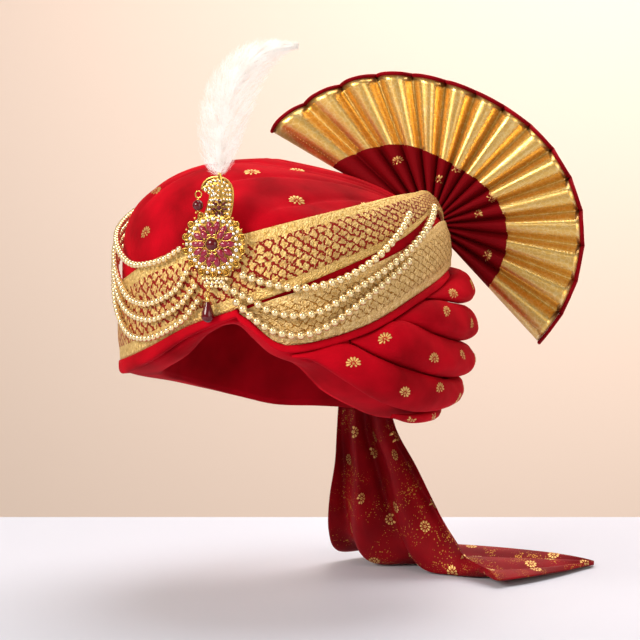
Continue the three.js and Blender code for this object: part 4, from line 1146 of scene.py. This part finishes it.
def worn(local):
    """Brooch measures (right, up, out) as places on the turban."""
    local = np.asarray(local, float)
    return BROOCH_AT + np.stack([local[..., 0], -local[..., 2], local[..., 1]], -1)


def level(x, y, z):
    """Points in the brooch's plane, all at one height or each at its own."""
    return np.stack(np.broadcast_arrays(x, y, z), -1)


def turned(x, y, turn):
    """Places in the brooch's plane, turned clockwise."""
    cos, sin = math.cos(turn), math.sin(turn)
    return np.stack([x * cos + y * sin, y * cos - x * sin], -1)


def spokes(count, shift=0.0):
    """Evenly spaced turns round a middle, each with its direction."""
    for i in range(count):
        turn = 2 * math.pi * (i + shift) / count
        yield turn, np.array([math.sin(turn), math.cos(turn), 0])


def stepped(outline, steps, middle):
    """A closed solid through copies of an outline, each (share of its size, height)."""
    rings = [level(*(outline * share).T, z) for share, z in steps]
    points = worn(np.stack(rings) + np.asarray(middle, float))
    return points, outward(points, tube_faces(len(steps), len(outline)))


def cut_stone(middle, radius, height, turn_deg=0.0, length=1.0, sides=8):
    """A cut stone: a flat table, a slanted crown, a girdle and a point behind."""
    turn = 2 * np.pi * (np.arange(sides) + 0.5) / sides
    outline = turned(np.sin(turn), np.cos(turn) * length, math.radians(turn_deg)) * radius
    steps = ((0.35, -height * 0.5), (1.0, 0.0), (0.93, height * 0.35), (0.55, height))
    return stepped(outline, steps, middle)


def plate(outline, back_z, front_z):
    """A flat plate between two depths, domed slightly at its middle."""
    steps = ((0.5, back_z), (1.0, back_z), (1.0, front_z), (0.8, front_z + 0.5), (0.4, front_z + 0.7))
    centre = outline.mean(axis=0)
    return stepped(outline - centre, steps, (*centre, 0))


def smooth_stone(middle, radius, height):
    """A cabochon, or a bead where the height is the radius."""
    return worn(BALL * [radius, radius, height] + np.asarray(middle, float)), BALL_FACES


def collet(middle, radius, thick=0.5, stretch=1.0, sides=7):
    """The ring of wire that holds a stone."""
    turn = np.linspace(0, 2 * np.pi, 21)
    ring = level(radius * np.sin(turn), radius * stretch * np.cos(turn), 0.0)
    return wire_part(worn(ring + np.asarray(middle, float)), thick, sides)

# %% Rosette
STUDS, STUD_RING, CRYSTAL_RING, DOT_RING = 14, 22.3, 18.2, 23.6
BETWEEN_STUDS = table("radius size", (20.6, 1.45), (17.4, 1.5), (15.0, 1.1))
PETAL_RINGS = table("count radius size lift shift", (14, 12.4, 2.55, 2.9, 0.5), (8, 8.6, 2.4, 4.1, 0.0))
gold, garnets, plums, crystals, studs = [], [], [], [], []
lobe = np.linspace(0, 2 * np.pi, 113)[:-1]
scallop = 22.2 + 0.9 * np.abs(np.cos(STUDS * lobe / 2))
gold.append(plate(np.stack([scallop * np.sin(lobe), scallop * np.cos(lobe)], -1), 0.0, 1.6))
for turn, out in spokes(STUDS):
    studs.append(smooth_stone(out * STUD_RING + [0, 0, 2.2], 1.75, 1.9))
    gold.append(collet(out * STUD_RING + [0, 0, 2.3], 2.15))
    crystals.append(cut_stone(out * CRYSTAL_RING + [0, 0, 2.6], 1.9, 1.5, math.degrees(turn)))
    gold.append(collet(out * CRYSTAL_RING + [0, 0, 2.4], 1.95, 0.26))
for turn, out in spokes(STUDS, 0.5):
    gold.append(smooth_stone(out * DOT_RING + [0, 0, 1.8], 0.8, 0.8))
    for radius, size in zip(*BETWEEN_STUDS.values()):
        crystals.append(cut_stone(out * radius + [0, 0, 2.5], size, 1.2, math.degrees(turn)))
oval = np.linspace(0, 2 * np.pi, 17)
for count, radius, size, lift, shift in zip(*PETAL_RINGS.values()):
    for turn, out in spokes(int(count), shift):
        plums.append(cut_stone(out * radius + [0, 0, lift], size, 1.5, math.degrees(turn), length=1.75))
        rim = turned(size * 1.08 * np.sin(oval), size * 1.9 * np.cos(oval), turn) + out[:2] * radius
        gold.append(wire_part(worn(level(*rim.T, lift + 0.1)), 0.22, 5))
around = np.linspace(0, 2 * np.pi, 97)
wavy = 6.2 + np.abs(np.sin(4 * around))
gold.append(wire_part(worn(level(wavy * np.sin(around), wavy * np.cos(around), 5.0)), 0.42, 6))
gold.append(plate(np.stack([6.4 * np.sin(lobe), 6.4 * np.cos(lobe)], -1), 1.5, 4.1))
gold.append(collet((0, 0, 5.2), 4.9, 0.55))
gold += [smooth_stone(out * [5.6, 5.9, 0] + [0, 0, 5.1], 0.42, 0.42) for _, out in spokes(16)]
garnets.append(smooth_stone((0, 0, 4.8), 4.6, 3.4))
print("rosette", len(studs), "studs,", len(plums), "petals")

# %% Mango-shaped top
def bend(start, *pieces):
    """Points along quadratic and cubic Bezier pieces, 8 to a piece."""
    points, here = [np.array(start, float)], np.array(start, float)
    for piece in pieces:
        controls = [here, *(np.array(point, float) for point in piece)]
        for t in np.linspace(0, 1, 9)[1:]:
            level = controls
            while len(level) > 1:
                level = [a + (b - a) * t for a, b in zip(level, level[1:])]
            points.append(level[0])
        here = controls[-1]
    return np.array(points)


mango = bend(
    (-7.4, 19),
    ((-3.8, 28), (-1.6, 37.5)), ((-1.4, 42), (-4.4, 41.6)), ((-7.4, 41), (-9.2, 38.4)),
    ((-8.6, 44.6), (-3, 47)), ((4, 49.6), (15.4, 47), (15.2, 35)), ((15, 26), (12.6, 19)),
)
gold.append(plate(mango, 0.0, 1.5))
border = level(*mango.T, 2.2)
gold.append(wire_part(worn(along_path(np.vstack([border, border[:1]]), 90)[0]), 0.75, 7))
centre = np.array([5.0, 33.0])
for share, count, size in ((0.82, 21, 1.15), (0.6, 15, 1.0), (0.36, 8, 1.0), (0.12, 3, 1.0)):
    inner = level(*(centre + (mango - centre) * share).T, 2.7)
    for point in along_path(inner, count)[0]:
        crystals.append(cut_stone(point, size, 0.9, 20 * point[0]))
        gold.append(collet(point - [0, 0, 0.1], size * 1.1, 0.26, sides=5))
for turn, out in spokes(7):
    garnets.append(cut_stone(out * 4.5 + [5, 26, 3.2], 1.05, 1.2, math.degrees(turn), 2.0))
garnets.append(smooth_stone((5, 26, 3.4), 1.9, 1.7))
gold.append(collet((5, 26, 3.4), 2.1, 0.35))
gold.append(wire_part(worn(bend((6.5, 42, 1.8), ((5.5, 46, 2.0), (4.6, 51, 2.2)))), 1.5, 10))
print("mango outline", len(mango), "points")

# %% Side bead, clusters and drop
gold.append(collet((-10.6, 35.4, 4.4), 2.4, 0.55))
gold.append(wire_part(worn([(-10.6, 33.2, 4.4), (-10.8, 32.2, 4.4), (-11, 31.2, 4.4)]), 0.45))
garnets.append(smooth_stone((-11, 27.6, 4.4), 4.0, 3.9))
dots = ((-11, 31.6, 4.4), (-11, 23.6, 4.4), (-12.6, 22.6, 4), (-9.6, 22.4, 4))
gold += [smooth_stone(spot, 0.9, 0.9) for spot in dots]
cluster = []
for row, (count, y, z) in enumerate(((7, -24.5, 3.2), (6, -27.4, 3.6), (4, -30.0, 3.8))):
    for x in np.linspace(-7.5 + row * 1.6, 10.5 - row * 2.2, count):
        cluster.append(smooth_stone((x, y, z), 1.5, 1.5))
sparks = ((-4, -26, 4.6), (3.6, -26, 4.6), (0, -28.4, 5.0), (7, -26.2, 4.6))
crystals += [cut_stone(point, 1.2, 1.0) for point in sparks]
drop_x = -3.0
for y in (-31.4, -33.9, -36.2):
    gold.append(collet((drop_x, y, 5.6), 1.15, 0.36, stretch=1.25))
drop_rows = table(
    "share radius",
    (0.0, 0.4), (0.10, 1.2), (0.25, 2.2), (0.42, 3.3), (0.6, 4.3),
    (0.76, 4.6), (0.88, 3.9), (0.96, 2.2), (1.0, 0.5),
)
share = np.linspace(0, 1, 22)
drop_path = worn(level(drop_x, -38.8 - 17 * share, 6.2))
garnets.append(wire_part(drop_path, read(drop_rows, "radius", share, "share"), 14))
cap = [(drop_x, y, z) for y, z in ((-36.6, 6), (-38, 6.1), (-39.4, 6.2), (-41, 6.2))]
gold.append(wire_part(worn(cap), [0.6, 1.3, 1.7, 1.9], 12))
print("brooch parts", len(gold), len(garnets), len(crystals))

# %% Brooch pieces
setting = piece_of("gilt_brooch_setting", gold, gilt_brass)
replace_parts(setting, "brooch_setting", "side_ring", "drop_link")
stones = piece_of("garnet_stones", garnets, garnet)
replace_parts(stones, "brooch_stone", "mango_stone", "side_bead", "drop_stone")
piece_of("plum_petals", plums, plum_crystal)
piece_of("clear_crystals", crystals, clear_crystal)
piece_of("antique_gold_studs", studs, amber_stud)
piece_of("small_pearl_cluster", cluster, lacquered_pearl)

# %% [markdown]
# ## Plume
# The plume is white marabou down: a thin quill with soft barbs, each with finer barbules, that curl
# forward and hide the quill. Hair would be simplest, but meshes export, so each barb is a narrow
# ribbon along a curve, with short ribbons at its sides. A seeded generator scatters them, so that
# the plume is the same each time.

# %% Down
PLUME_AT = np.array([9.5, -121.5, 133.0])
PLUME = table(
    "row x y z width depth",
    (0, 0, 0, 0, 2.4, 2.4), (1, -0.5, 0, 8, 18, 9), (2, -0.5, 1, 18, 28, 14), (3, 1, 2, 31, 34, 16),
    (4, 4, 3, 46, 38, 18), (5, 9, 4, 61, 38, 17), (6, 17, 5, 75, 34, 15), (7, 29, 6, 85, 26, 11),
    (8, 43, 7, 90, 14, 7), (9, 56, 8, 91, 3, 2),
)
BARBS, BARBULE_STEP_MM, BARBULE_WIDTHS = 2300, 1.25, [0.22, 0.18, 0.08]
draw = np.random.default_rng(11)


def spine_at(row):
    return PLUME_AT + np.stack([read(PLUME, axis, row, "row") for axis in "xyz"], -1)


def ribbon(path, widths, flat):
    """A strip of quads along a path, widened along one direction."""
    sides = np.asarray(widths)[:, None] / 2 * flat
    return np.concatenate([path - sides, path + sides])


points, faces = [], []


def add_ribbon(path, widths, flat):
    start, count = len(points), len(path)
    points.extend(ribbon(path, widths, flat))
    faces.extend(quads(start + np.arange(2 * count).reshape(2, count)))


for _ in range(BARBS):
    row = 9 * draw.random() ** 0.8
    ahead = min(row + 0.5 + 0.9 * draw.random(), 9.0)
    root, tip = spine_at(row), spine_at(ahead)
    tangent = spine_at(min(row + 0.1, 9.0)) - spine_at(max(row - 0.1, 0.0))
    tangent /= np.linalg.norm(tangent)
    side = np.cross([0, 1, 0], tangent)
    side /= np.linalg.norm(side)
    turn, full = draw.random() * 2 * math.pi, 0.6 + 0.5 * math.sqrt(draw.random())
    reach = side * math.cos(turn) * read(PLUME, "width", ahead, "row") / 2 * full
    reach = reach + np.array([0, 1, 0]) * math.sin(turn) * read(PLUME, "depth", ahead, "row") / 2 * full
    t = np.linspace(0, 1, 8)[:, None]
    curl = np.cross(tangent, reach) * 0.18 * (draw.random() - 0.5)
    path = root * (1 - t) ** 2 + (root + reach * 0.75 + curl) * 2 * t * (1 - t) + (tip + reach) * t**2
    length = float(np.linalg.norm(np.diff(path, axis=0), axis=1).sum())
    across = np.cross(reach, tangent)
    across /= max(np.linalg.norm(across), 1e-6)
    add_ribbon(path, np.linspace(0.42, 0.14, 8), across)
    hairs, _ = along_path(path, max(int(length / BARBULE_STEP_MM), 3))
    forward = np.gradient(hairs, axis=0)
    forward /= np.linalg.norm(forward, axis=1, keepdims=True)
    for i, (base, ahead_way) in enumerate(zip(hairs, forward)):
        spin = draw.random() * 2 * math.pi
        out = np.cross(ahead_way, [math.cos(spin), math.sin(spin), 0.3])
        out /= max(np.linalg.norm(out), 1e-6)
        size = (1.4 + 1.6 * draw.random()) * (1 - 0.35 * i / len(hairs))
        bent = base + ahead_way * size * 0.9 + out * size * 0.75
        hair = np.stack([base, (base + bent) / 2 + out * 0.25, bent])
        add_ribbon(hair, BARBULE_WIDTHS, np.cross(out, ahead_way))
quill_path = spine_at(np.linspace(0, 9, 60))
plume = make_piece("white_marabou_plume", points, faces, white_down)
piece_of("plume_quill", [wire_part(quill_path, np.linspace(0.9, 0.15, 60), 7)], white_down)
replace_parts(plume, "plume")
print("plume faces", len(faces))
